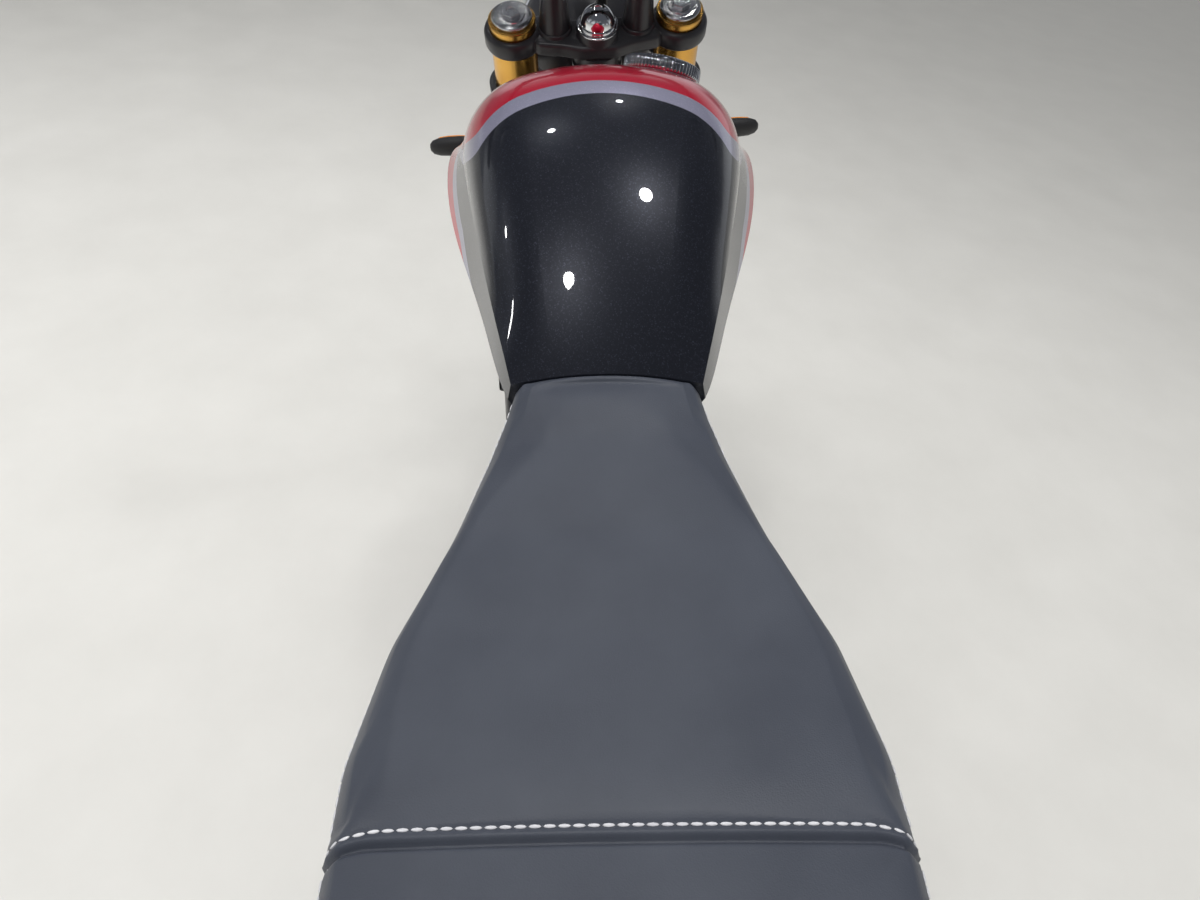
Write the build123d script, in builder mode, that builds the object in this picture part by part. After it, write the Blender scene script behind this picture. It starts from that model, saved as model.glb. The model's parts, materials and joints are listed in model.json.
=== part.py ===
"""A roadster motorcycle with a flat cafe seat, built as separate solids.

The upright machine has x forward from the rear axle, y to its left and z up from the ground.
The front end is drawn in a fork frame: x forward at right angles to the steering axis, z up that axis,
with the front axle at the height z = 0. Lengths are in millimetres and angles in degrees.
"""

import math
import os

from build123d import *

# Stance
wheelbase = 1382.0
rake = 24.6
trail = 118.0
lean_on_stand = 7.0
steer_at_rest = 4.8
seat_gap = 0.3
moving_gap = 5.0

# Wheels and tyres
front_tyre_radius, front_tyre_half_width, front_crown = 293.0, 55.0, 60.0
rear_tyre_radius, rear_tyre_half_width, rear_crown = 306.0, 75.0, 80.0
bead_radius, flange_radius, rim_inner_radius = 216.0, 231.0, 190.0
front_rim_half, rear_rim_half, rim_flange = 38.0, 52.0, 6.0
hub_radius, spoke_pairs = 31.0, 5
axle_clearance = 0.3
front_axle_radius, front_axle_bore = 10.0, 6.0
rear_axle_radius, rear_axle_bore = 12.0, 8.0
front_hub_half, rear_hub_half = 60.0, 66.0

# Brakes
front_disc_radius, front_disc_inner, disc_thickness = 150.0, 96.0, 4.5
rear_disc_radius, rear_disc_inner = 115.0, 74.0

# Fork and yokes
fork_spacing = 188.0
fork_tube_radius, slider_radius = 26.0, 20.0
fork_cap_height, fork_cap_radius = 7.0, 23.0
bottom_yoke_low, bottom_yoke_thick = 470.0, 34.0
top_yoke_low, top_yoke_thick = 648.0, 28.0
clamp_collar, collar_wall = 4.0, 6.5
tube_above_yoke = 15.0
tube_low, slider_low = 296.0, 40.0
bearing_boss, bearing_radius = 4.0, 27.0
stem_radius, head_tube_radius, head_tube_bore = 14.0, 29.0, 19.5
stem_nut_radius, stem_boss_radius, stem_boss = 21.0, 24.0, 14.0

# Handlebar
riser_spacing, riser_base, riser_top, riser_boss = 94.0, 17.5, 12.0, 8.0
bar_centre_radius, bar_radius, grip_radius, grip_length = 14.0, 11.0, 16.5, 122.0
bar_x, bar_z, bar_bend_y, bar_top_z = 10.0, 770.0, 105.0, 836.0
bar_half_width, bar_pullback = 392.0, 74.0

# Chain drive
chain_y, chain_pitch = 92.0, 15.875
rear_teeth, front_teeth = 43, 15
chain_plate_half_height, roller_half, roller_radius = 7.0, 5.0, 5.0
gearbox_x, gearbox_z = 612.0, 400.0
pivot_x, pivot_z = 545.0, 400.0

# Engine
crank_x, crank_z, cylinder_tilt = 780.0, 360.0, 15.0
case_half_width, left_cover_depth, right_cover_depth = 64.0, 34.0, 42.0
barrel_start, barrel_height, head_height, cam_cover_height = 112.0, 100.0, 78.0, 52.0
fin_pitch, fin_thickness, barrel_half, fin_reach = 11.0, 4.0, 60.0, 18.0

# Frame tubes
main_tube_radius, down_tube_radius, rail_radius, strut_radius = 16.0, 14.0, 12.5, 11.0

rake_sin, rake_cos = math.sin(math.radians(rake)), math.cos(math.radians(rake))
lean_sin, lean_cos = math.sin(math.radians(lean_on_stand)), math.cos(math.radians(lean_on_stand))
steer_sin, steer_cos = math.sin(math.radians(steer_at_rest)), math.cos(math.radians(steer_at_rest))
front_offset = front_tyre_radius * rake_sin - trail * rake_cos
fork_half = fork_spacing / 2
head_up = Vector(-rake_sin, 0, rake_cos)
head_forward = Vector(rake_cos, 0, rake_sin)

# On its stand the machine leans and the turned wheel leans a little more: the fork settles until it touches
floor_drop = rear_crown * (1 - lean_cos)
wheel_lean = math.radians(lean_on_stand) + math.asin(rake_sin * steer_sin)
front_core = front_tyre_radius - front_crown
axle_drop = front_offset * (steer_sin * lean_sin + (1 - steer_cos) * rake_sin * lean_cos)
front_height = (front_core * math.cos(wheel_lean) + front_crown - floor_drop + axle_drop) / lean_cos
front_axle = Vector(wheelbase, 0, front_height)
head_frame = Plane(origin=front_axle - head_forward * front_offset, x_dir=head_forward, z_dir=head_up)

UPRIGHT = Location((0, 0, 0))
STEERING = head_frame.location * Location((0, 0, 0), (0, 0, steer_at_rest))
FRONT_WHEEL = STEERING * Location((front_offset, 0, 0))
REAR_WHEEL = Location((0, 0, rear_tyre_radius))
SIDES = (1, -1)

pieces = []


def keep(builder, label, place=UPRIGHT):
    """Puts a finished piece into the upright machine under its name."""
    solid = builder.part.moved(place)
    solid.label = label
    pieces.append(solid)


def tube(points, bend, radius, mode=Mode.ADD):
    """Adds a round tube along straight runs joined by arcs of the given bend radius."""
    with BuildLine() as route:
        if len(points) == 2:
            Line(*points)
        else:
            FilletPolyline(*points, radius=bend)
    start = Plane(origin=route.line @ 0, z_dir=route.line % 0)
    with BuildSketch(start) as section:
        Circle(radius)
    sweep(section.sketch, path=route.line, mode=mode)


def dome(base, low, height):
    """The arc of a dome's profile, from its rim to the axis, centred on the axis."""
    radius = (base**2 + height**2) / (2 * height)
    half_angle = math.degrees(math.asin(base / radius))
    CenterArc((0, low + height - radius), radius, 90 - half_angle, half_angle)


def both_sides(points, side):
    """The points of a left-hand route, or their mirror image on the right."""
    return [(x, y * side, z) for x, y, z in points]


def cross_plane(x):
    """The plane across the machine at x: its own x runs to the left and its y up."""
    return Plane(origin=(x, 0, 0), x_dir=(0, 1, 0), z_dir=(1, 0, 0))


def side_plane(y):
    """The plane along the machine at y: its own x runs forward and its y up, and it faces right."""
    return Plane(origin=(0, y, 0), x_dir=(1, 0, 0), z_dir=(0, -1, 0))


# Wheels, drawn about the y axis with their centre at the origin


def tyre(radius, half_width, crown, rim_half):
    """A tyre with a round crown, so that it stands on the same height when it leans."""
    edge_y = half_width - 1
    edge_r = radius - crown + math.sqrt(crown**2 - edge_y**2)
    bead = bead_radius + seat_gap
    lip = flange_radius + seat_gap
    bead_y = rim_half - seat_gap
    lip_y = rim_half + rim_flange
    bulge = ((edge_r + lip) / 2, half_width + 1)
    with BuildSketch(Plane.XY) as profile:
        with BuildLine():
            Line((bead, -bead_y), (bead, bead_y))
            Line((bead, bead_y), (lip, bead_y))
            Line((lip, bead_y), (lip, lip_y))
            ThreePointArc((lip, lip_y), bulge, (edge_r, edge_y))
            ThreePointArc((edge_r, edge_y), (radius, 0), (edge_r, -edge_y))
            ThreePointArc((edge_r, -edge_y), (bulge[0], -bulge[1]), (lip, -lip_y))
            Line((lip, -lip_y), (lip, -bead_y))
            Line((lip, -bead_y), (bead, -bead_y))
        make_face()
    revolve(profile.sketch, axis=Axis.Y)


def axle_bore(left_end, right_end, axle_radius):
    """Bores a hub right through from its left end, with running clearance round the axle."""
    with BuildSketch(Plane.XZ.offset(-left_end)) as bore:
        Circle(axle_radius + axle_clearance)
    extrude(bore.sketch, amount=left_end - right_end, mode=Mode.SUBTRACT)


def cast_wheel(rim_half, hub_half):
    """A cast rim with a drop centre, paired spokes and a hub."""
    lip_y = rim_half + rim_flange
    with BuildSketch(Plane.XY) as rim:
        with BuildLine():
            Polyline(
                (flange_radius, lip_y),
                (flange_radius, rim_half),
                (bead_radius, rim_half),
                (bead_radius, 22),
                (bead_radius - 12, 14),
                (bead_radius - 12, -14),
                (bead_radius, -22),
                (bead_radius, -rim_half),
                (flange_radius, -rim_half),
                (flange_radius, -lip_y),
                (bead_radius - 10, -lip_y + 1),
                (rim_inner_radius, -16),
                (rim_inner_radius, 16),
                (bead_radius - 10, lip_y - 1),
                close=True,
            )
        make_face()
    revolve(rim.sketch, axis=Axis.Y)
    with BuildSketch(Plane.XY) as hub:
        with Locations((hub_radius / 2, 0)):
            Rectangle(hub_radius, 2 * hub_half)
    revolve(hub.sketch, axis=Axis.Y)
    spoke_root, spoke_tip = hub_radius - 4, rim_inner_radius + 5
    for pair in range(spoke_pairs):
        for side in SIDES:
            turn = pair * 360 / spoke_pairs + side * 7
            spread = side * 9
            axis = Plane.XY.rotated((0, turn, 0))
            root = Plane(
                origin=axis.from_local_coords(Vector(spoke_root, 0, spread)), x_dir=(0, 1, 0), z_dir=axis.x_dir
            )
            tip = Plane(
                origin=axis.from_local_coords(Vector(spoke_tip, 0, spread + side * 14)),
                x_dir=(0, 1, 0),
                z_dir=axis.x_dir,
            )
            with BuildSketch(root) as root_section:
                RectangleRounded(34, 17, 5)
            with BuildSketch(tip) as tip_section:
                RectangleRounded(21, 13, 4)
            loft([root_section.sketch, tip_section.sketch])


def brake_disc(outer, inner, near_y, mount_radius, arms):
    """A drilled disc with a wavy carrier, from near_y outwards along +y."""
    with BuildSketch(Plane.XZ.offset(-near_y)) as ring:
        Circle(outer)
        with PolarLocations(outer, 10):
            Circle(7, mode=Mode.SUBTRACT)
        Circle(inner, mode=Mode.SUBTRACT)
        with PolarLocations((outer + inner) / 2 + 12, 20):
            Circle(4.5, mode=Mode.SUBTRACT)
        with PolarLocations((outer + inner) / 2 - 8, 20, 9):
            Circle(4.5, mode=Mode.SUBTRACT)
    extrude(ring.sketch, amount=-disc_thickness)
    with BuildSketch(Plane.XZ.offset(-near_y)) as carrier:
        Circle(mount_radius)
        with PolarLocations((inner + mount_radius) / 2, arms):
            Rectangle(inner - mount_radius + 16, 18)
        Circle(mount_radius - 16, mode=Mode.SUBTRACT)
    extrude(carrier.sketch, amount=-disc_thickness)


# Front wheel: the disc bolts to a flange on the hub's left end
front_disc_y = front_hub_half
disc_flange_radius, disc_flange_thick = 62.0, 8.0

with BuildPart() as front_tyre:
    tyre(front_tyre_radius, front_tyre_half_width, front_crown, front_rim_half)
keep(front_tyre, "front_tyre", FRONT_WHEEL)

with BuildPart() as front_rim:
    cast_wheel(front_rim_half, front_hub_half)
    with BuildSketch(Plane.XZ.offset(-front_disc_y)):
        Circle(disc_flange_radius)
    extrude(amount=disc_flange_thick)
    axle_bore(front_disc_y, -front_hub_half, front_axle_radius)
keep(front_rim, "front_rim", FRONT_WHEEL)

with BuildPart() as front_disc:
    brake_disc(front_disc_radius, front_disc_inner, front_disc_y, disc_flange_radius, 5)
keep(front_disc, "front_disc", FRONT_WHEEL)

# Rear wheel: sprocket on the left, disc on the right
sprocket_thickness = 6.0
rear_pitch_radius = chain_pitch / (2 * math.sin(math.pi / rear_teeth))
front_pitch_radius = chain_pitch / (2 * math.sin(math.pi / front_teeth))
tooth_clearance = 0.4
rear_tooth_tip = rear_pitch_radius - roller_radius - tooth_clearance
carrier_radius = 58.0
rear_disc_y = -(rear_hub_half + disc_thickness)

with BuildPart() as rear_tyre:
    tyre(rear_tyre_radius, rear_tyre_half_width, rear_crown, rear_rim_half)
keep(rear_tyre, "rear_tyre", REAR_WHEEL)

carrier_end = chain_y - sprocket_thickness / 2

with BuildPart() as rear_rim:
    cast_wheel(rear_rim_half, rear_hub_half)
    with BuildSketch(Plane.XZ.offset(-carrier_end)):
        Circle(carrier_radius)
    extrude(amount=carrier_end - rear_rim_half + 10, taper=8)
    with BuildSketch(Plane.XZ.offset(rear_hub_half)):
        Circle(carrier_radius - 8)
    extrude(amount=-disc_flange_thick)
    axle_bore(carrier_end, -rear_hub_half, rear_axle_radius)
keep(rear_rim, "rear_rim", REAR_WHEEL)

with BuildPart() as rear_disc:
    brake_disc(rear_disc_radius, rear_disc_inner, rear_disc_y, carrier_radius - 8, 5)
keep(rear_disc, "rear_disc", REAR_WHEEL)

with BuildPart() as rear_sprocket:
    with BuildSketch(Plane.XZ.offset(-chain_y - sprocket_thickness / 2)):
        Circle(rear_tooth_tip)
        with PolarLocations(rear_tooth_tip + 1.5, rear_teeth):
            Circle(roller_radius, mode=Mode.SUBTRACT)
        Circle(carrier_radius - 20, mode=Mode.SUBTRACT)
        with PolarLocations((rear_tooth_tip + carrier_radius) / 2, 8):
            Circle(9, mode=Mode.SUBTRACT)
    extrude(amount=sprocket_thickness)
keep(rear_sprocket, "rear_sprocket", REAR_WHEEL)

# Axles
dropout_inner, dropout_thick = 108.0, 26.0
axle_head = 9.0
lug_half = 21.0
front_axle_half = fork_half + lug_half + 2

with BuildPart() as front_axle_shaft:
    with BuildSketch(Plane.XZ.offset(-front_axle_half)):
        Circle(front_axle_radius)
    extrude(amount=2 * front_axle_half)
    for side in SIDES:
        spacer_inner = front_hub_half + seat_gap
        spacer_length = fork_half - lug_half - spacer_inner
        with BuildSketch(Plane.XZ.offset(-side * spacer_inner)):
            Circle(front_axle_radius + 5)
        extrude(amount=-side * spacer_length)
    with BuildSketch(Plane.XZ.offset(-front_axle_half)):
        Circle(front_axle_bore)
    extrude(amount=2 * front_axle_half, mode=Mode.SUBTRACT)
keep(front_axle_shaft, "front_axle", FRONT_WHEEL)

rear_axle_half = dropout_inner + dropout_thick + axle_head

with BuildPart() as rear_axle_shaft:
    with BuildSketch(Plane.XZ.offset(-rear_axle_half)):
        Circle(rear_axle_radius)
    extrude(amount=2 * rear_axle_half)
    for side in SIDES:
        with BuildSketch(Plane.XZ.offset(-side * (dropout_inner + dropout_thick))):
            RegularPolygon(19, 6)
        extrude(amount=-side * axle_head)
    for outer_end, inner_end in ((dropout_inner, carrier_end), (-dropout_inner, -rear_hub_half)):
        side = math.copysign(1, outer_end)
        with BuildSketch(Plane.XZ.offset(-outer_end)):
            Circle(rear_axle_radius + 6)
        extrude(amount=side * (abs(outer_end - inner_end) - seat_gap))
    with BuildSketch(Plane.XZ.offset(-rear_axle_half)):
        Circle(rear_axle_bore)
    extrude(amount=2 * rear_axle_half, mode=Mode.SUBTRACT)
keep(rear_axle_shaft, "rear_axle", REAR_WHEEL)

# Fork, in the fork frame
top_yoke_top = top_yoke_low + top_yoke_thick
fork_top = top_yoke_top + tube_above_yoke
fork_places = [(front_offset, side * fork_half) for side in SIDES]

with BuildPart() as fork_tubes:
    with BuildSketch(Plane.XY.offset(tube_low)):
        with Locations(*fork_places):
            Circle(fork_tube_radius)
    extrude(amount=fork_top - tube_low)
keep(fork_tubes, "fork_tubes", STEERING)

yoke_radius, boss_radius, yoke_edge = fork_tube_radius + 10, 27.0, 43.0


def yoke(low, thick):
    """A yoke plate: two fork clamps and a stem boss under one outline, notched between them at the front."""
    with BuildSketch(Plane.XY.offset(low)) as outline:
        with Locations(*fork_places):
            Circle(yoke_radius)
        Circle(boss_radius)
        make_hull()
        with Locations((yoke_edge + 30, 0)):
            RectangleRounded(60, 2 * (fork_half - yoke_radius), 14, mode=Mode.SUBTRACT)
        with Locations(*fork_places):
            Circle(fork_tube_radius + seat_gap, mode=Mode.SUBTRACT)
    extrude(outline.sketch, amount=thick)


def clamp_rings(low, height, wall):
    """Rings round both fork tubes, standing on a yoke or under it."""
    with BuildSketch(Plane.XY.offset(low)) as rings:
        with Locations(*fork_places):
            Circle(fork_tube_radius + seat_gap + wall)
            Circle(fork_tube_radius + seat_gap, mode=Mode.SUBTRACT)
    extrude(rings.sketch, amount=height)


with BuildPart() as bottom_yoke:
    yoke(bottom_yoke_low, bottom_yoke_thick)
    with BuildSketch(Plane.XY.offset(bottom_yoke_low)):
        Circle(stem_radius)
    extrude(amount=top_yoke_top + stem_boss - bottom_yoke_low)
    with BuildSketch(Plane.XY.offset(bottom_yoke_low + bottom_yoke_thick)):
        Circle(bearing_radius)
    extrude(amount=bearing_boss)
    clamp_rings(bottom_yoke_low - clamp_collar, clamp_collar, collar_wall)
keep(bottom_yoke, "bottom_yoke", STEERING)

with BuildPart() as top_yoke:
    yoke(top_yoke_low, top_yoke_thick)
    with BuildSketch(Plane.XY.offset(top_yoke_low - bearing_boss)):
        Circle(bearing_radius)
    extrude(amount=bearing_boss)
    clamp_rings(top_yoke_top, clamp_collar, collar_wall)
    clamp_rings(top_yoke_low - clamp_collar, clamp_collar, collar_wall)
    with BuildSketch(Plane.XY.offset(top_yoke_top)):
        Circle(stem_boss_radius)
    extrude(amount=stem_boss, taper=6)
    with BuildSketch(Plane.XY.offset(top_yoke_top)):
        with Locations(*[(bar_x, side * riser_spacing / 2) for side in SIDES]):
            Circle(riser_base + 1.5)
    extrude(amount=riser_boss)
    with BuildSketch(Plane.XY.offset(top_yoke_low - bearing_boss)):
        Circle(stem_radius + seat_gap)
    extrude(amount=bearing_boss + top_yoke_thick + stem_boss, mode=Mode.SUBTRACT)
keep(top_yoke, "top_yoke", STEERING)

with BuildPart() as fork_caps:
    with BuildSketch(Plane.XY.offset(fork_top)):
        with Locations(*fork_places):
            Circle(fork_cap_radius)
    extrude(amount=fork_cap_height, taper=12)
    with BuildSketch(Plane.XY.offset(fork_top)):
        with Locations(*fork_places):
            RegularPolygon(11, 6)
    extrude(amount=fork_cap_height + 5)
keep(fork_caps, "fork_caps", STEERING)

with BuildPart() as stem_nut:
    nut_flange, nut_dome, dome_radius = 5.0, 17.0, 18.5
    with BuildSketch(Plane.XZ):
        with BuildLine():
            nut_low = top_yoke_top + stem_boss
            nut_shoulder = nut_low + nut_flange
            Polyline(
                (0, nut_shoulder + nut_dome), (0, nut_low), (stem_nut_radius, nut_low),
                (stem_nut_radius, nut_shoulder), (dome_radius, nut_shoulder),
            )
            dome(dome_radius, nut_shoulder, nut_dome)
        make_face()
    revolve(axis=Axis.Z)
keep(stem_nut, "stem_nut", STEERING)

# Fork legs: the sliders and the feet that clamp the axle
foot_radius, foot_top = 24.0, 62.0
ear_x, ear_heights, ear_radius = front_offset - 27.0, (75.0, 125.0), 9.0

with BuildPart() as fork_legs:
    with BuildSketch(Plane.XY.offset(slider_low)):
        with Locations((front_offset, fork_half)):
            Circle(slider_radius)
    extrude(amount=tube_low - slider_low)
    with BuildSketch(Plane.XZ.offset(-fork_half - lug_half)):
        with Locations((front_offset, 0)):
            Circle(foot_radius)
        with Locations((front_offset, foot_top)):
            Circle(slider_radius - 2)
        make_hull()
    extrude(amount=2 * lug_half)
    mirror(about=Plane.XZ)
    for height in ear_heights:
        with BuildSketch(Plane.YZ.offset(ear_x)):
            with Locations((fork_half - 8, height)):
                Circle(ear_radius)
        extrude(amount=front_offset - ear_x)
    with BuildSketch(Plane.XZ.offset(-front_axle_half)):
        with Locations((front_offset, 0)):
            Circle(front_axle_radius + seat_gap)
    extrude(amount=2 * front_axle_half, mode=Mode.SUBTRACT)
keep(fork_legs, "fork_legs", STEERING)

# Brake calipers: a body that straddles the disc, open towards the axle
pad_gap = moving_gap


def caliper(centre, angle, distance, radial, tangential, left, right, disc_low, disc_high, disc_outer):
    """A caliper body between two side planes, slotted for its disc."""
    with BuildSketch(Plane.XZ.offset(-left)) as body:
        with Locations(centre):
            with PolarLocations(distance, 1, start_angle=angle):
                RectangleRounded(radial, tangential, 12)
    extrude(body.sketch, amount=left - right)
    with BuildSketch(Plane.XZ.offset(-disc_high - pad_gap)) as slot:
        with Locations(centre):
            Circle(disc_outer + pad_gap)
    extrude(slot.sketch, amount=disc_high - disc_low + 2 * pad_gap, mode=Mode.SUBTRACT)


front_caliper_left, front_caliper_right = 92.0, 38.0
piston_radius, piston_spread, piston_height = 17.0, 24.0, 4.0

with BuildPart() as front_caliper:
    with BuildSketch(Plane.XZ.offset(-fork_half)):
        with Locations((ear_x - seat_gap - 22, sum(ear_heights) / 2)):
            Rectangle(44, ear_heights[1] - ear_heights[0] + 22)
    extrude(amount=fork_half - front_disc_y - disc_thickness - pad_gap)
    caliper(
        (front_offset, 0), 140, 134, 70, 96,
        front_caliper_left, front_caliper_right,
        front_disc_y, front_disc_y + disc_thickness, front_disc_radius,
    )
    with BuildSketch(Plane.XZ.offset(-front_caliper_left)):
        with Locations((front_offset, 0)):
            with PolarLocations(134, 1, start_angle=140):
                with Locations((0, piston_spread), (0, -piston_spread)):
                    Circle(piston_radius)
    extrude(amount=-piston_height)
keep(front_caliper, "front_caliper", STEERING)

# Front mudguard between the legs
guard_gap, guard_thick, guard_half, guard_skirt = 12.0, 3.0, 62.0, 24.0
guard_inner = front_tyre_radius + guard_gap
guard_front, guard_sweep = 48.0, 96.0

with BuildPart() as front_mudguard:
    with BuildSketch(Plane.XY.rotated((0, -guard_front - guard_sweep, 0))):
        with BuildLine():
            Polyline(
                (guard_inner - guard_skirt, guard_half),
                (guard_inner - 8, guard_half),
                (guard_inner, guard_half - 22),
                (guard_inner, -guard_half + 22),
                (guard_inner - 8, -guard_half),
                (guard_inner - guard_skirt, -guard_half),
                (guard_inner - guard_skirt, -guard_half - guard_thick),
                (guard_inner - 6, -guard_half - guard_thick),
                (guard_inner + guard_thick, -guard_half + 21),
                (guard_inner + guard_thick, guard_half - 21),
                (guard_inner - 6, guard_half + guard_thick),
                (guard_inner - guard_skirt, guard_half + guard_thick),
                close=True,
            )
        make_face()
    revolve(axis=Axis.Y, revolution_arc=guard_sweep)
    stay_width, stay_height, stay_low = 34.0, 28.0, guard_inner - guard_skirt - 18
    with BuildSketch(Plane.XZ.offset(guard_half)):
        with Locations((0, stay_low + stay_height / 2)):
            RectangleRounded(stay_width, stay_height, 6)
    extrude(amount=fork_half - slider_radius - seat_gap - guard_half)
    with BuildSketch(Plane.XZ.offset(-fork_half + slider_radius + seat_gap)):
        with Locations((0, stay_low + stay_height / 2)):
            RectangleRounded(stay_width, stay_height, 6)
    extrude(amount=fork_half - slider_radius - seat_gap - guard_half)
keep(front_mudguard, "front_mudguard", STEERING * Location((front_offset, 0, 0)))

# Handlebar on two tapered risers
clamp_half, clamp_reach, clamp_size = 17.0, 19.0, 22.0

with BuildPart() as handlebar_risers:
    riser_low = top_yoke_top + riser_boss
    cone_height = bar_z - clamp_size - riser_low
    with Locations((bar_x, riser_spacing / 2, riser_low)):
        Cone(riser_base, riser_top, cone_height, align=(Align.CENTER, Align.CENTER, Align.MIN))
    with BuildSketch(Plane.XZ.offset(-riser_spacing / 2 - clamp_half)):
        with Locations((bar_x, bar_z)):
            RectangleRounded(2 * clamp_reach, 2 * clamp_size, 8)
            Circle(bar_centre_radius + seat_gap, mode=Mode.SUBTRACT)
    extrude(amount=2 * clamp_half)
    mirror(about=Plane.XZ)
keep(handlebar_risers, "handlebar_risers", STEERING)

bar_end = Vector(bar_x - bar_pullback, bar_half_width, bar_top_z + 8)
bar_knee = Vector(bar_x - 10, bar_bend_y + 75, bar_top_z)
bar_out = (bar_end - bar_knee).normalized()
bar_plane = Plane(origin=bar_end, x_dir=Vector(bar_out.Y, -bar_out.X, 0), z_dir=bar_out)

with BuildPart() as handlebar:
    left_half = [(bar_x, bar_bend_y, bar_z), tuple(bar_knee), tuple(bar_end)]
    right_half = [(x, -y, z) for x, y, z in reversed(left_half)]
    tube(right_half + left_half, 46, bar_radius)
    centre_half = riser_spacing / 2 + clamp_half + 6
    with BuildSketch(Plane.XZ.offset(-centre_half)):
        with Locations((bar_x, bar_z)):
            Circle(bar_centre_radius)
    extrude(amount=2 * centre_half)
    for side in SIDES:
        end = Plane(origin=(bar_end.X, side * bar_end.Y, bar_end.Z), z_dir=(bar_out.X, side * bar_out.Y, bar_out.Z))
        with BuildSketch(end):
            Circle(bar_radius + 3)
        extrude(amount=15, taper=6)
keep(handlebar, "handlebar", STEERING)

with BuildPart() as grips:
    with BuildSketch(bar_plane.offset(-grip_length)):
        Circle(grip_radius)
        Circle(bar_radius + seat_gap, mode=Mode.SUBTRACT)
    extrude(amount=grip_length)
    mirror(about=Plane.XZ)
keep(grips, "grips", STEERING)

pod_length, pod_radius, perch_length, perch_radius = 46.0, 20.0, 22.0, 17.0
perch_end = grip_length + pod_length + perch_length
cup_radius, cup_height = 15.0, 30.0


def on_bar(forward, down, inboard):
    """A point beside the left handlebar end, measured along the grip."""
    return bar_plane.from_local_coords(Vector(forward, down, -inboard))


with BuildPart() as bar_controls:
    for start, length, radius in (
        (grip_length + 1 + pod_length, pod_length, pod_radius),
        (perch_end + 1, perch_length, perch_radius),
    ):
        with BuildSketch(bar_plane.offset(-start)):
            Circle(radius)
            Circle(bar_radius + seat_gap, mode=Mode.SUBTRACT)
        extrude(amount=length)
    perch_middle = perch_end + 1 - perch_length / 2
    tube([on_bar(17, 0, perch_middle), on_bar(50, 2, perch_middle - 14)], 1, 8)
    mirror(about=Plane.XZ)
    cup = on_bar(33, -6, perch_middle)
    with Locations((cup.X, -cup.Y, cup.Z)):
        Cylinder(cup_radius, cup_height, align=(Align.CENTER, Align.CENTER, Align.MIN))
        Cylinder(cup_radius + 2, 6, align=(Align.CENTER, Align.CENTER, Align.MIN))
keep(bar_controls, "bar_controls", STEERING)

with BuildPart() as levers:
    lever_start = on_bar(50.5, 2, perch_middle - 14.2)
    tube([lever_start, on_bar(70, 3, 158), on_bar(66, 3, 60), on_bar(52, 3, 8)], 20, 5.5)
    with Locations(on_bar(52, 3, 8)):
        Sphere(8)
    mirror(about=Plane.XZ)
keep(levers, "levers", STEERING)

mirror_radius, mirror_thick = 54.0, 13.0
mirror_centre = on_bar(20, -128, 96)

with BuildPart() as mirrors:
    stem_foot = on_bar(4, -perch_radius - seat_gap, perch_middle)
    glass_plane = Plane(origin=mirror_centre, x_dir=(0, 1, 0), z_dir=(-rake_cos, 0, rake_sin))
    mirror_back = glass_plane.from_local_coords(Vector(0, 0, 2 - mirror_thick))
    tube([stem_foot, on_bar(8, -50, perch_middle - 4), mirror_back], 30, 5)
    with BuildSketch(glass_plane):
        Circle(mirror_radius)
    extrude(amount=-mirror_thick, taper=20)
    mirror(about=Plane.XZ)
keep(mirrors, "mirrors", STEERING)

# Headlight, instrument and front indicators hang on the fork
lamp_origin = Vector(62, 0, 585)
lamp_axis = Vector(rake_cos, 0, -rake_sin)
lamp_radius, lamp_depth, lamp_wall, lens_thick, lens_bulge = 85.0, 108.0, 4.0, 14.0, 6.0
lamp_plane = Plane(origin=lamp_origin, x_dir=(0, 1, 0), z_dir=Vector(0, 1, 0).cross(lamp_axis))
lamp_bore = lamp_radius - lamp_wall

with BuildPart() as headlight_shell:
    with BuildSketch(lamp_plane):
        with BuildLine():
            Line((0, 0), (30, 0))
            ThreePointArc((30, 0), (lamp_radius * 0.78, 26), (lamp_radius, 72))
            Line((lamp_radius, 72), (lamp_radius, lamp_depth))
            Line((lamp_radius, lamp_depth), (lamp_bore, lamp_depth))
            Line((lamp_bore, lamp_depth), (lamp_bore, 72))
            ThreePointArc((lamp_bore, 72), (lamp_bore * 0.78, 30), (28, lamp_wall))
            Line((28, lamp_wall), (0, lamp_wall))
            Line((0, lamp_wall), (0, 0))
        make_face()
    revolve(axis=Axis(lamp_origin, lamp_axis))
    for side in SIDES:
        with BuildSketch(Plane.XY.offset(572)):
            with Locations((front_offset, side * fork_half)):
                Circle(fork_tube_radius + 8)
        extrude(amount=32)
        tube([(front_offset + 28, side * fork_half, 588), (112, side * (lamp_radius - 3), 561)], 1, 8)
    with BuildSketch(Plane.XY.offset(560)):
        with Locations(*fork_places):
            Circle(fork_tube_radius + seat_gap)
    extrude(amount=60, mode=Mode.SUBTRACT)
keep(headlight_shell, "headlight_shell", STEERING)

with BuildPart() as headlight_lens:
    with BuildSketch(lamp_plane):
        with BuildLine():
            lens_back = lamp_depth - lens_thick
            lens_edge = lamp_bore - seat_gap
            Polyline(
                (0, lamp_depth + lens_bulge), (0, lens_back), (lens_edge, lens_back), (lens_edge, lamp_depth - 3)
            )
            dome(lens_edge, lamp_depth - 3, lens_bulge + 3)
        make_face()
    revolve(axis=Axis(lamp_origin, lamp_axis))
keep(headlight_lens, "headlight_lens", STEERING)

clock_centre, clock_tilt, clock_radius, clock_depth = Vector(62, -8, 752), 35.0, 48.0, 38.0
clock_post_x, clock_post_radius, clock_post_height = 35.0, 6.5, 40.0

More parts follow.
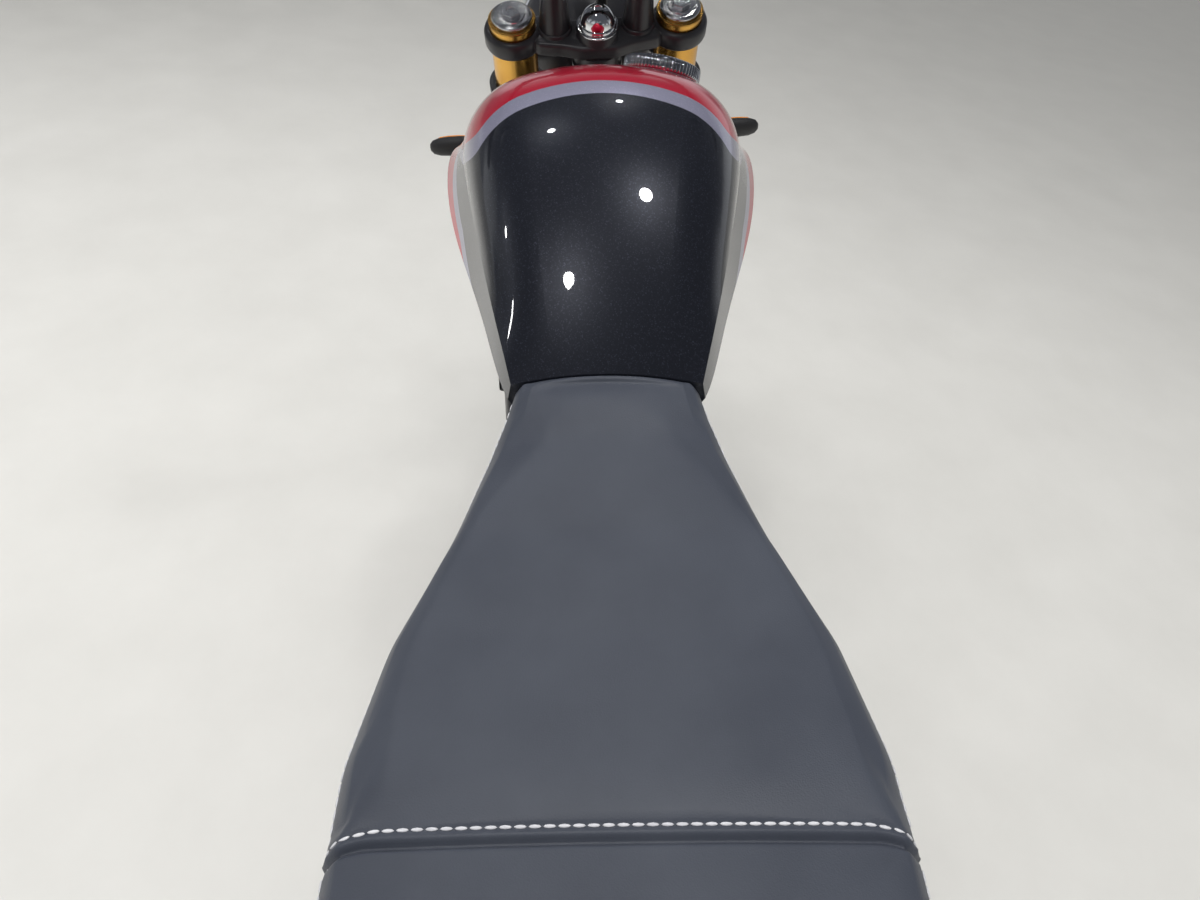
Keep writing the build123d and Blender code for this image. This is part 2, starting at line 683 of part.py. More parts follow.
with BuildPart() as instrument:
    clock_up = Vector(-math.sin(math.radians(clock_tilt)), 0, math.cos(math.radians(clock_tilt)))
    clock_plane = Plane(origin=clock_centre, x_dir=(0, 1, 0), z_dir=clock_up)
    with BuildSketch(clock_plane.offset(-clock_depth)):
        Circle(clock_radius - 5)
    extrude(amount=clock_depth)
    with BuildSketch(clock_plane.offset(-12)):
        Circle(clock_radius)
    extrude(amount=12)
    with BuildSketch(clock_plane):
        Circle(clock_radius - 5)
    extrude(amount=-2, mode=Mode.SUBTRACT)
    with BuildSketch(Plane.XY.offset(top_yoke_top)):
        with Locations((clock_post_x, clock_centre.Y)):
            Circle(clock_post_radius)
    extrude(amount=clock_post_height)
keep(instrument, "instrument", STEERING)

lamp_post, indicator_tip, indicator_z = 158.0, 215.0, 514.0

with BuildPart() as front_indicators:
    with BuildSketch(Plane.XY.offset(indicator_z - 8)):
        with Locations((front_offset, fork_half)):
            Circle(fork_tube_radius + 5)
            Circle(fork_tube_radius + seat_gap, mode=Mode.SUBTRACT)
    extrude(amount=16)
    with BuildSketch(Plane.XZ.offset(-fork_half - fork_tube_radius - 2)):
        with Locations((front_offset - 8, indicator_z)):
            Circle(6)
    extrude(amount=-(lamp_post - fork_half - fork_tube_radius))
    with BuildSketch(Plane.XZ.offset(-lamp_post)):
        with Locations((front_offset - 10, indicator_z)):
            RectangleRounded(32, 21, 9)
    extrude(amount=-(indicator_tip - lamp_post), taper=5)
    mirror(about=Plane.XZ)
keep(front_indicators, "front_indicators", STEERING)

# Frame: a head tube, two main tubes, two down tubes, pivot plates and a tail loop
head_low = bottom_yoke_low + bottom_yoke_thick + bearing_boss + seat_gap
head_high = top_yoke_low - bearing_boss - seat_gap
plate_inner, plate_thick = 112.0, 12.0
plate_middle = plate_inner + plate_thick / 2
seat_base_z = 745.0
rail_z = seat_base_z - seat_gap - rail_radius
mount_gap = case_half_width + seat_gap
lower_mount, upper_mount, mount_radius = (606.0, 325.0), (603.0, 470.0), 10.0
front_mount = (900.0, 400.0)
shock_top = (560.0, 640.0)
cross_tube = (603.0, 660.0)
eye_radius, eye_half, pin_radius = 14.0, 14.0, 6.0
hanger_inner, hanger_thick = 133.7, 6.0
hanger_bosses = ((470.0, 106.0, 570.0), (370.0, 99.4, 628.0))
stand_pivot = Vector(590, 116, 205)
stand_down, stand_folded = Vector(0.35, 0.70, -0.62), Vector(-0.95, 0.25, 0.1)
stand_axis = stand_down.cross(stand_folded).normalized()
stand_eye_radius, stand_eye_thick = 16.0, 9.0
stand_plane = Plane(origin=stand_pivot, x_dir=stand_down, z_dir=stand_axis)

down_tube_side = [(1010, 62, 702), (932, 80, 560), (918, 79, 392)]
down_tube_bend = 50

with BuildPart() as frame:
    with BuildSketch(head_frame.offset(head_low)):
        Circle(head_tube_radius)
    extrude(amount=head_high - head_low)
    for side in SIDES:
        high = head_frame.from_local_coords(Vector(-4, side * 12, head_low + 52))
        low = head_frame.from_local_coords(Vector(-4, side * 12, head_low + 20))
        main_route = both_sides(
            [(1000, 66, 752), (850, 92, 748), (660, 72, 716), (586, 68, 640), (556, 116, 510), (554, 118, 450)], side
        )
        tube([high] + main_route, 42, main_tube_radius)
        tube([low] + both_sides(down_tube_side, side), down_tube_bend, down_tube_radius)
        tube(both_sides([(640, 66, rail_z), (420, 76, rail_z), (-30, 64, rail_z)], side), 200, rail_radius)
        tube(both_sides([(556, 112, 520), (350, 98, 640), (232, 73, rail_z)], side), 60, strut_radius)
        with BuildSketch(side_plane(side * plate_inner if side < 0 else plate_inner + plate_thick)):
            with BuildLine():
                FilletPolyline(
                    (520, 330), (536, 500), (622, 492), (628, 320), (598, 300), (560, 306), radius=12, close=True
                )
            make_face()
            with Locations((pivot_x, pivot_z)):
                Circle(10.3, mode=Mode.SUBTRACT)
        extrude(amount=plate_thick)
        for place, inner, depth in (
            (lower_mount, mount_gap, plate_inner - mount_gap + 2),
            (upper_mount, mount_gap, plate_inner - mount_gap + 2),
        ):
            with BuildSketch(side_plane(side * (inner + depth) if side > 0 else -inner)):
                with Locations(place):
                    Circle(mount_radius)
            extrude(amount=depth)
        with BuildSketch(side_plane(side * (mount_gap + 10) if side > 0 else -mount_gap)):
            with Locations(front_mount):
                RectangleRounded(58, 40, 8)
        extrude(amount=10)
        for along, across, height in hanger_bosses:
            with BuildSketch(Plane.XZ.offset(-side * across)):
                with Locations((along, height)):
                    Circle(9)
            extrude(amount=-side * (hanger_inner - seat_gap - across))
    tube([(-30, -64, rail_z), (-30, 64, rail_z)], 1, rail_radius)
    tube([(cross_tube[0], -70, cross_tube[1]), (cross_tube[0], 70, cross_tube[1])], 1, 13)
    for side in SIDES:
        with BuildSketch(side_plane(side * (eye_half + 6) if side > 0 else -eye_half - seat_gap)):
            with Locations(shock_top):
                Circle(13)
            with Locations(cross_tube):
                Circle(13)
            make_hull()
        extrude(amount=6 - seat_gap)
    with BuildSketch(side_plane(eye_half + 6)):
        with Locations(shock_top):
            Circle(pin_radius)
    extrude(amount=2 * eye_half + 12)
    with BuildSketch(stand_plane.offset(stand_eye_thick + seat_gap)):
        Circle(stand_eye_radius)
    extrude(amount=stand_eye_thick)
    with BuildSketch(stand_plane.offset(-seat_gap)):
        Circle(pin_radius)
    extrude(amount=stand_eye_thick + 2 * seat_gap)
    with BuildSketch(stand_plane.offset(-seat_gap)):
        Circle(pin_radius + 5)
    extrude(amount=-6)
    lug_face = stand_plane.from_local_coords(Vector(0, 0, 2 * stand_eye_thick + seat_gap))
    tube([(592, plate_middle, 316), lug_face], 1, 9)
    with BuildSketch(head_frame.offset(head_low)):
        Circle(head_tube_bore)
    extrude(amount=head_high - head_low, mode=Mode.SUBTRACT)
keep(frame, "frame")

# Side stand: its foot lies in the floor that the leaning machine stands on
leg_radius, leg_start = 10.0, 27.0
floor_plane = Plane(origin=(0, 0, 0), x_dir=(1, 0, 0), z_dir=(0, -lean_sin, lean_cos)).offset(-floor_drop)
foot_thick = 8.0
stand_height = floor_plane.to_local_coords(stand_pivot).Z
drop_per_length = -floor_plane.z_dir.dot(stand_plane.x_dir)
leg_length = (stand_height - foot_thick) / drop_per_length

with BuildPart() as side_stand:
    with BuildSketch(stand_plane):
        Circle(stand_eye_radius)
        with Locations((leg_start + 6, 0)):
            Circle(leg_radius)
        make_hull()
    extrude(amount=stand_eye_thick)
    leg_line = [stand_plane.from_local_coords(Vector(along, 0, stand_eye_thick / 2)) for along in (leg_start, leg_length)]
    tube(leg_line, 1, leg_radius)
    foot_centre = floor_plane.to_local_coords(leg_line[1])
    with BuildSketch(floor_plane):
        with Locations((foot_centre.X, foot_centre.Y)):
            RectangleRounded(70, 44, 14)
    extrude(amount=foot_thick + 4)
    with BuildSketch(stand_plane):
        Circle(pin_radius + seat_gap)
    extrude(amount=stand_eye_thick, mode=Mode.SUBTRACT)
keep(side_stand, "side_stand")

# Swingarm, chain outside its pivot tube and inside its arms at the wheel
brace_x, brace_z, brace_length, brace_height = 372.0, 388.0, 56.0, 50.0
shock_foot = (385.0, 440.0)
arm_sections = (
    # x, middle y, middle z, width, height
    (552.0, 84.0, 395.0, 40.0, 50.0),
    (500.0, 86.0, 393.0, 40.0, 52.0),
    (400.0, 117.0, 383.0, 36.0, 58.0),
    (200.0, 121.0, 350.0, 26.0, 62.0),
    (40.0, 121.0, 312.0, 26.0, 56.0),
)

with BuildPart() as swingarm:
    for x, y, z, width, height in arm_sections:
        with BuildSketch(cross_plane(x)):
            with Locations((y, z)):
                RectangleRounded(width, height, 8)
    loft(ruled=True)
    with BuildSketch(side_plane(dropout_inner + dropout_thick)):
        with BuildLine():
            FilletPolyline((60, 284), (60, 338), (-30, 330), (-48, 306), (-30, 282), radius=8, close=True)
        make_face()
    extrude(amount=dropout_thick)
    mirror(about=Plane.XZ)
    with BuildSketch(Plane.XZ.offset(-100)):
        with Locations((pivot_x, pivot_z)):
            Circle(24)
    extrude(amount=200)
    with BuildSketch(Plane.XZ.offset(-plate_inner - plate_thick - 2)):
        with Locations((pivot_x, pivot_z)):
            Circle(10)
    extrude(amount=2 * (plate_inner + plate_thick + 2))
    with BuildSketch(Plane.XZ.offset(-104)):
        with Locations((brace_x, brace_z)):
            RectangleRounded(brace_length, brace_height, 12)
    extrude(amount=208)
    for side in SIDES:
        with BuildSketch(side_plane(side * (eye_half + 6) if side > 0 else -eye_half - seat_gap)):
            with Locations(shock_foot):
                Circle(13)
            with Locations((brace_x + 4, brace_z + 18)):
                Circle(20)
            make_hull()
        extrude(amount=6 - seat_gap)
    with BuildSketch(side_plane(eye_half + 6)):
        with Locations(shock_foot):
            Circle(pin_radius)
    extrude(amount=2 * eye_half + 12)
    with BuildSketch(Plane.XZ.offset(-200)):
        with Locations((0, rear_tyre_radius)):
            Circle(rear_axle_radius + seat_gap)
    extrude(amount=400, mode=Mode.SUBTRACT)
keep(swingarm, "swingarm")

shock_line = Vector(shock_top[0] - shock_foot[0], 0, shock_top[1] - shock_foot[1])
shock_length = shock_line.length
shock_plane = Plane(origin=(shock_foot[0], 0, shock_foot[1]), x_dir=(0, 1, 0), z_dir=shock_line)
spring_low, spring_high, spring_radius, spring_turns = 58.0, shock_length - 58.0, 32.0, 8

with BuildPart() as shock:
    with BuildSketch(shock_plane):
        Circle(9)
    extrude(amount=shock_length)
    with BuildSketch(shock_plane.offset(shock_length * 0.55)):
        Circle(21)
    extrude(amount=shock_length * 0.45 - eye_radius)
    for height in (spring_low - 7, spring_high):
        with BuildSketch(shock_plane.offset(height)):
            Circle(spring_radius + 2)
        extrude(amount=7)
    turn_height = (spring_high - spring_low) / spring_turns
    for turn in range(spring_turns):
        with BuildSketch(shock_plane.offset(spring_low + turn * turn_height + 0.22 * turn_height)):
            Circle(spring_radius)
        extrude(amount=0.56 * turn_height)
    with BuildSketch(shock_plane.offset(spring_low)):
        Circle(spring_radius - 8)
    extrude(amount=spring_high - spring_low)
    for height in (0, shock_length):
        centre = shock_plane.from_local_coords(Vector(0, 0, height))
        with BuildSketch(side_plane(eye_half)):
            with Locations((centre.X, centre.Z)):
                Circle(eye_radius)
        extrude(amount=2 * eye_half)
        with BuildSketch(side_plane(eye_half)):
            with Locations((centre.X, centre.Z)):
                Circle(pin_radius + seat_gap)
        extrude(amount=2 * eye_half, mode=Mode.SUBTRACT)
keep(shock, "shock")

# Engine
tilt_sin, tilt_cos = math.sin(math.radians(cylinder_tilt)), math.cos(math.radians(cylinder_tilt))
bore_plane = Plane(origin=(crank_x, 0, crank_z), x_dir=(tilt_cos, 0, -tilt_sin), z_dir=(tilt_sin, 0, tilt_cos))
sprocket_radius = front_pitch_radius - roller_radius - tooth_clearance

with BuildPart() as engine_cases:
    with BuildSketch(side_plane(case_half_width)):
        with BuildLine():
            FilletPolyline(
                (590, 312), (590, 490), (690, 486), (760, 470), (888, 436), (892, 330), (850, 250), (650, 246),
                radius=18, close=True,
            )
        make_face()
    extrude(amount=2 * case_half_width)
    with BuildSketch(bore_plane.offset(60)):
        RectangleRounded(2 * barrel_half + 8, 2 * barrel_half - 4, 18)
    extrude(amount=barrel_start - 60)
    with BuildSketch(Plane.XZ.offset(-chain_y - 8)):
        with Locations((gearbox_x, gearbox_z)):
            Circle(13)
    extrude(amount=chain_y + 8 - case_half_width + 4)
    with BuildSketch(Plane.XZ.offset(-chain_y - sprocket_thickness / 2)):
        with Locations((gearbox_x, gearbox_z)):
            Circle(sprocket_radius)
            with PolarLocations(sprocket_radius + 1.5, front_teeth):
                Circle(roller_radius, mode=Mode.SUBTRACT)
    extrude(amount=sprocket_thickness)
keep(engine_cases, "engine_cases")

with BuildPart() as cylinder:
    with BuildSketch(bore_plane.offset(barrel_start)):
        RectangleRounded(2 * barrel_half, 2 * barrel_half - 8, 22)
    extrude(amount=barrel_height)
    fins = int(barrel_height / fin_pitch)
    for fin in range(fins):
        with BuildSketch(bore_plane.offset(barrel_start + (fin + 0.5) * fin_pitch)):
            RectangleRounded(2 * (barrel_half + fin_reach), 2 * (barrel_half + fin_reach) - 8, 26)
        extrude(amount=fin_thickness)
    with BuildSketch(bore_plane.offset(barrel_start + barrel_height)):
        RectangleRounded(2 * barrel_half + 16, 2 * barrel_half + 6, 20)
    extrude(amount=head_height)
    with BuildSketch(bore_plane.offset(barrel_start + barrel_height + head_height)):
        RectangleRounded(2 * barrel_half + 8, 2 * barrel_half - 2, 26)
    extrude(amount=cam_cover_height, taper=14)
keep(cylinder, "cylinder")

cover_step, guard_left, guard_wall = 18.0, 108.5, 4.5

with BuildPart() as engine_covers:
    for side, place, radius, depth in (
        (1, (796, 350), 74, left_cover_depth),
        (-1, (724, 366), 92, right_cover_depth),
        (-1, (816, 320), 46, right_cover_depth - 10),
    ):
        for inset, length in ((0, depth), (cover_step, depth + 5)):
            with BuildSketch(Plane.XZ.offset(-side * case_half_width)):
                with Locations(place):
                    Circle(radius - inset)
            extrude(amount=-side * length, taper=7)
    for wall, left_face in ((0, guard_left), (guard_wall, guard_left - guard_wall)):
        with BuildSketch(side_plane(left_face)):
            with Locations((618, gearbox_z)):
                Circle(60 - wall)
            with Locations((668, gearbox_z)):
                Circle(40 - wall)
            make_hull()
            with Locations((560, gearbox_z)):
                Rectangle(80, 140, mode=Mode.SUBTRACT)
        extrude(amount=left_face - case_half_width - seat_gap, mode=Mode.SUBTRACT if wall else Mode.ADD)
keep(engine_covers, "engine_covers")

intake_radius, intake_flange = 24.0, 31.0
intake = bore_plane.from_local_coords(
    Vector(-barrel_half - 8 - seat_gap, 0, barrel_start + barrel_height + head_height / 2)
)
airbox_front_x, airbox_half = 540.0, 52.0

with BuildPart() as throttle_body:
    airbox_end = Vector(airbox_front_x + seat_gap, 0, 716)
    tube(
        [tuple(intake), tuple(intake - bore_plane.x_dir * 30), (660, 0, 684), (airbox_end.X + 40, 0, 716), tuple(airbox_end)],
        30, intake_radius,
    )
    with BuildSketch(Plane(origin=intake, x_dir=(0, 1, 0), z_dir=-bore_plane.x_dir)):
        Circle(intake_flange)
    extrude(amount=9)
    with BuildSketch(cross_plane(airbox_end.X)):
        with Locations((0, airbox_end.Z)):
            Circle(intake_flange - 8)
    extrude(amount=10)
    with BuildSketch(side_plane(intake_flange + 4)):
        with Locations((698, 660)):
            Rectangle(40, 2 * intake_radius + 8, rotation=-28)
    extrude(amount=2 * intake_flange + 8)
keep(throttle_body, "throttle_body")

radiator_centre, radiator_tilt = Vector(1028, 0, 572), 12.0
radiator_width, radiator_height, radiator_thick = 300.0, 214.0, 28.0
radiator_up = Vector(math.sin(math.radians(radiator_tilt)), 0, math.cos(math.radians(radiator_tilt)))
radiator_plane = Plane(origin=radiator_centre, x_dir=(0, 1, 0), z_dir=Vector(0, 1, 0).cross(radiator_up))

with BuildPart() as radiator:
    with BuildSketch(radiator_plane.offset(-radiator_thick / 2)):
        Rectangle(radiator_width - 60, radiator_height)
    extrude(amount=radiator_thick)
    for side in SIDES:
        with BuildSketch(radiator_plane.offset(-radiator_thick / 2 - 4)):
            with Locations((side * (radiator_width / 2 - 15), 0)):
                RectangleRounded(30, radiator_height + 10, 8)
        extrude(amount=radiator_thick + 8)
    for side in SIDES:
        for along in (0.22, 0.78):
            (top_x, top_y, top_z), (low_x, low_y, low_z) = down_tube_side[:2]
            lug = (top_x + (low_x - top_x) * along, top_y + (low_y - top_y) * along, top_z + (low_z - top_z) * along)
            back_x = radiator_centre.X + (lug[2] - radiator_centre.Z) * math.tan(math.radians(radiator_tilt))
            with BuildSketch(cross_plane(lug[0])):
                with Locations((side * lug[1], lug[2])):
                    Circle(8)
            extrude(amount=back_x - lug[0])
        tube(both_sides(down_tube_side, side), down_tube_bend, down_tube_radius + seat_gap, mode=Mode.SUBTRACT)
keep(radiator, "radiator")

# Exhaust: header under the engine to an upswept silencer on the right
pipe_radius, silencer_radius, silencer_wall = 21.0, 52.0, 3.0
silencer_front, silencer_back = Vector(395, -172, 268), Vector(40, -208, 388)
port_height = barrel_start + barrel_height + head_height / 2
port = bore_plane.from_local_coords(Vector(barrel_half + 8 + seat_gap, 0, port_height))
port_out = bore_plane.from_local_coords(Vector(barrel_half + 48, 0, port_height))

silencer_axis = silencer_back - silencer_front
silencer_inlet = silencer_front - silencer_axis.normalized() * 70

with BuildPart() as exhaust_header:
    tube(
        [port, port_out, (958, -8, 470), (930, -60, 300), (850, -92, 206), (650, -112, 200),
         silencer_inlet, silencer_front],
        36, pipe_radius,
    )
    with BuildSketch(Plane(origin=port, x_dir=(0, 1, 0), z_dir=port_out - port)):
        RectangleRounded(84, 46, 18)
    extrude(amount=9)
keep(exhaust_header, "exhaust_header")

silencer_length = silencer_axis.length
silencer_plane = Plane(origin=silencer_front, x_dir=(0, 1, 0), z_dir=silencer_axis)

with BuildPart() as silencer:
    with BuildSketch(Plane.XZ):
        with BuildLine():
            Polyline(
                (pipe_radius + 2, 0), (silencer_radius - 4, 46), (silencer_radius, 60),
                (silencer_radius, silencer_length - 40), (silencer_radius - 12, silencer_length),
                (26, silencer_length), (26, silencer_length - 30), (silencer_radius - 16, silencer_length - 30),
                (silencer_radius - 14, silencer_length - 10), (silencer_radius - silencer_wall, silencer_length - 42),
                (silencer_radius - silencer_wall, 62), (silencer_radius - 8, 49), (0, 4), (0, 0),
                close=True,
            )
        make_face()
    revolve(axis=Axis.Z)
keep(silencer, "silencer", silencer_plane.location)

# Hangers for the rear footrests; the right one carries the silencer's strap
strap_along, strap_width, strap_thick = 100.0, 24.0, 3.0
hanger_outer = hanger_inner + hanger_thick

with BuildPart() as pillion_hangers:
    with BuildSketch(side_plane(hanger_outer)):
        with BuildLine():
            FilletPolyline(
                (488, 560), (486, 584), (376, 648), (352, 636), (284, 446), (290, 420), (340, 414),
                radius=8, close=True,
            )
        make_face()
        with BuildLine():
            FilletPolyline((450, 556), (376, 612), (322, 452), radius=6, close=True)
        make_face(mode=Mode.SUBTRACT)
    extrude(amount=hanger_thick)
    with BuildSketch(side_plane(hanger_outer + 75)):
        with Locations((316, 434)):
            Circle(10)
    extrude(amount=76)
    mirror(about=Plane.XZ)
    with BuildSketch(side_plane(-hanger_outer)):
        with Locations((300, 380)):
            RectangleRounded(28, 120, 8)
    extrude(amount=hanger_thick)
    with BuildSketch(silencer_plane.offset(strap_along)):
        Circle(silencer_radius + seat_gap + strap_thick)
    extrude(amount=strap_width)
    with BuildSketch(silencer_plane.offset(strap_along - 40)):
        Circle(silencer_radius + seat_gap)
    extrude(amount=strap_width + 80, mode=Mode.SUBTRACT)
keep(pillion_hangers, "pillion_hangers")

# Tank
crown_radius, crown_share = 260.0, 0.55
tank_sections = (
    # x, crease half width, crease z, flank half width, flank z, base half width, base z, top z
    (575.0, 72.0, 810.0, 75.0, 796.0, 68.0, 784.0, 820.0),
    (640.0, 90.0, 846.0, 96.0, 814.0, 84.0, 783.0, 882.0),
    (700.0, 104.0, 868.0, 114.0, 826.0, 98.0, 780.0, 925.0),
    (790.0, 121.0, 886.0, 138.0, 840.0, 118.0, 776.0, 955.0),
    (880.0, 126.0, 874.0, 147.0, 850.0, 126.0, 776.0, 936.0),
    (940.0, 112.0, 852.0, 138.0, 838.0, 118.0, 777.0, 896.0),
    (984.0, 74.0, 822.0, 92.0, 812.0, 80.0, 782.0, 838.0),
)

with BuildPart() as fuel_tank:
    for x, crease, crease_z, flank, flank_z, base, base_z, top_z in tank_sections:
        with BuildSketch(cross_plane(x)):
            with BuildLine():
                Line((-base, base_z), (base, base_z))
                Line((base, base_z), (flank, flank_z))
                Line((flank, flank_z), (crease, crease_z))
                crown_half = crown_share * crease
                crown_slope = math.asin(crown_half / crown_radius)
                crown_z = top_z - crown_radius * (1 - math.cos(crown_slope))
                fall = (math.cos(crown_slope), -math.sin(crown_slope))
                TangentArc((crown_half, crown_z), (crease, crease_z), tangent=fall)
                ThreePointArc((crown_half, crown_z), (0, top_z), (-crown_half, crown_z))
                TangentArc((-crown_half, crown_z), (-crease, crease_z), tangent=(-fall[0], fall[1]))
                Line((-crease, crease_z), (-flank, flank_z))
                Line((-flank, flank_z), (-base, base_z))
            make_face()
    loft()
keep(fuel_tank, "fuel_tank")

cap_centre, cap_radius, cap_height, cap_neck = Vector(899, -55, 920), 35.0, 14.0, 9.0
cap_normal = Vector(0.48, -0.19, 0.856)

with BuildPart() as fuel_cap:
    cap_plane = Plane(origin=cap_centre, x_dir=(1, 0, 0), z_dir=cap_normal)
    with BuildSketch(cap_plane.offset(-cap_neck)):
        Circle(cap_radius - 3)
    extrude(amount=cap_neck + 2)
    with BuildSketch(cap_plane.offset(2)):
        Circle(cap_radius)
        with PolarLocations(cap_radius + 1, 24):
            Circle(2.4, mode=Mode.SUBTRACT)
    extrude(amount=cap_height - 2)
    add(fuel_tank.part, mode=Mode.SUBTRACT)
keep(fuel_cap, "fuel_cap")

# Seat
seat_edge = 14.0
seat_sections = (
    # x, half width, top z at the edge, top z in the middle
    (574.7, 73.0, 814.0, 822.0),
    (520.0, 87.5, 800.0, 806.0),
    (440.0, 112.0, 794.0, 798.0),
    (360.0, 136.5, 796.0, 800.0),
    (290.0, 145.0, 802.0, 807.0),
    (200.0, 142.0, 808.0, 815.0),
    (80.0, 132.0, 814.0, 824.0),
    (-20.0, 114.0, 818.0, 830.0),
    (-75.0, 88.0, 812.0, 824.0),
)

with BuildPart() as seat:
    for x, half, edge_z, top_z in seat_sections:
        with BuildSketch(cross_plane(x)):
            with BuildLine():
                shoulder_y, shoulder_z = half - seat_edge, edge_z
                Line((-half + 12, seat_base_z), (half - 12, seat_base_z))
                Line((half - 12, seat_base_z), (half, shoulder_z - seat_edge))
                ThreePointArc(
                    (half, shoulder_z - seat_edge),
                    (half - 0.3 * seat_edge, shoulder_z - 0.3 * seat_edge),
                    (shoulder_y, shoulder_z),
                )
                ThreePointArc((shoulder_y, shoulder_z), (0, top_z), (-shoulder_y, shoulder_z))
                ThreePointArc(
                    (-shoulder_y, shoulder_z),
                    (-half + 0.3 * seat_edge, shoulder_z - 0.3 * seat_edge),
                    (-half, shoulder_z - seat_edge),
                )
                Line((-half, shoulder_z - seat_edge), (-half + 12, seat_base_z))
            make_face()
    loft(ruled=True)
keep(seat, "seat")

# Tail
tail_top = seat_base_z - seat_gap
tail_base_z, tail_end_x, tail_wall = 700.0, -86.0, 4.0
tail_sections = (
    # x, half width at the top, half width at the bottom
    (215.0, 104.0, 88.0),
    (80.0, 100.0, 82.0),
    (tail_end_x, 84.0, 66.0),
)

with BuildPart() as tail_cover:
    for inset, mode in ((0.0, Mode.ADD), (tail_wall, Mode.SUBTRACT)):
        low = tail_base_z
        for x, top_half, bottom_half in tail_sections:
            shifted = x + (2 * inset if x > 0 else inset)
            with BuildSketch(cross_plane(shifted)):
                with BuildLine():
                    Polyline(
                        (-bottom_half + inset, low + inset), (bottom_half - inset, low + inset),
                        (top_half - inset, tail_top + inset / 2), (-top_half + inset, tail_top + inset / 2),
                        close=True,
                    )
                make_face()
        loft(ruled=True, mode=mode)
keep(tail_cover, "tail_cover")

panel_inner = 76 + rail_radius + seat_gap

with BuildPart() as side_panels:
    for side in SIDES:
        with BuildSketch(side_plane(side * (panel_inner + 3) if side > 0 else -panel_inner)):
            with BuildLine():
                FilletPolyline(
                    (598, 654), (598, 716), (566, 738), (330, 738), (322, 704), (352, 672), (430, 646),
                    radius=12, close=True,
                )
            make_face()
        extrude(amount=3)
keep(side_panels, "side_panels")

with BuildPart() as airbox:
    with BuildSketch(side_plane(airbox_half)):
        with BuildLine():
            FilletPolyline(
                (300, 664), (300, 740), (airbox_front_x, 740), (airbox_front_x, 692), (500, 664),
                radius=14, close=True,
            )
        make_face()
    extrude(amount=2 * airbox_half)
    with BuildSketch(side_plane(46)):
        with Locations((420, seat_base_z - seat_gap - 5)):
            Rectangle(160, 10)
    extrude(amount=92)
keep(airbox, "airbox")

with BuildPart() as tail_light:
    with BuildSketch(cross_plane(tail_end_x - seat_gap)):
        with Locations((0, 726)):
            RectangleRounded(118, 24, 10)
    extrude(amount=-16, taper=12)
keep(tail_light, "tail_light")

hanger_bar = (-118.0, 652.0)
hanger_half = 75.0
plate_centre = Vector(-292, 0, 500)

with BuildPart() as plate_hanger:
    tube([(-60, 0, tail_base_z - 10), (-118, 0, 652), (-232, 0, 596), tuple(plate_centre)], 30, 8)
    with BuildSketch(Plane.XY.offset(tail_base_z - seat_gap)):
        with Locations((-56, 0)):
            RectangleRounded(50, 70, 8)
    extrude(amount=-6)
    with BuildSketch(Plane(origin=plate_centre, x_dir=(0, 1, 0), z_dir=(-0.97, 0, 0.24))):
        RectangleRounded(180, 150, 8)
    extrude(amount=4)
    tube([(hanger_bar[0], -hanger_half, hanger_bar[1]), (hanger_bar[0], hanger_half, hanger_bar[1])], 1, 7)
keep(plate_hanger, "plate_hanger")

with BuildPart() as rear_indicators:
    for side in SIDES:
        with BuildSketch(Plane.XZ.offset(-side * (hanger_half + seat_gap))):
            with Locations(hanger_bar):
                RectangleRounded(36, 27, 12)
        extrude(amount=-side * 62, taper=5)
keep(rear_indicators, "rear_indicators")

# Rests for the feet, with the brake and gear pedals
rest_mount = (545.0, 350.0)

with BuildPart() as footrests:
    peg_x, peg_z, peg_tip = 500.0, 322.0, 276.0
    with BuildSketch(side_plane(plate_inner + plate_thick + seat_gap + 8)):
        with Locations(rest_mount):
            Circle(18)
        with Locations((peg_x, peg_z)):
            Circle(14)
        make_hull()
    extrude(amount=8)
    with BuildSketch(Plane.XZ.offset(-(plate_inner + plate_thick + 6))):
        with Locations((peg_x, peg_z)):
            Circle(9)
    extrude(amount=-(peg_tip - plate_inner - plate_thick - 6))
    with BuildSketch(Plane.XZ.offset(-(peg_tip - 92))):
        with Locations((peg_x, peg_z)):
            RectangleRounded(34, 24, 8)
    extrude(amount=-92)
    mirror(about=Plane.XZ)
keep(footrests, "footrests")

with BuildPart() as pedals:
    pedal_y = plate_inner + plate_thick + 22
    with BuildSketch(Plane.XZ.offset(-(plate_inner + plate_thick + 8 + 2 * seat_gap))):
        with Locations(rest_mount):
            Circle(15)
    extrude(amount=-18)
    tube([(rest_mount[0], pedal_y, rest_mount[1]), (610, pedal_y, 322), (668, pedal_y, 330)], 30, 6)
    tube([(660, pedal_y, 329), (660, pedal_y + 44, 329)], 1, 8)
    mirror(about=Plane.XZ)
keep(pedals, "pedals")

# Drive chain: one fixed loop round both sprockets
chain_span = Vector(gearbox_x, gearbox_z - rear_tyre_radius)
chain_angle = math.atan2(chain_span.Y, chain_span.X)
wrap = math.acos((rear_pitch_radius - front_pitch_radius) / chain_span.length)
chain_run = chain_span.length * math.sin(wrap)
front_arc, rear_arc = 2 * wrap * front_pitch_radius, (2 * math.pi - 2 * wrap) * rear_pitch_radius
links = 2 * round((2 * chain_run + front_arc + rear_arc) / chain_pitch / 2)
link_length = (2 * chain_run + front_arc + rear_arc) / links
pin_reach, inner_plate, outer_plate, inner_half_height = 5.5, 1.5, 1.5, 6.5


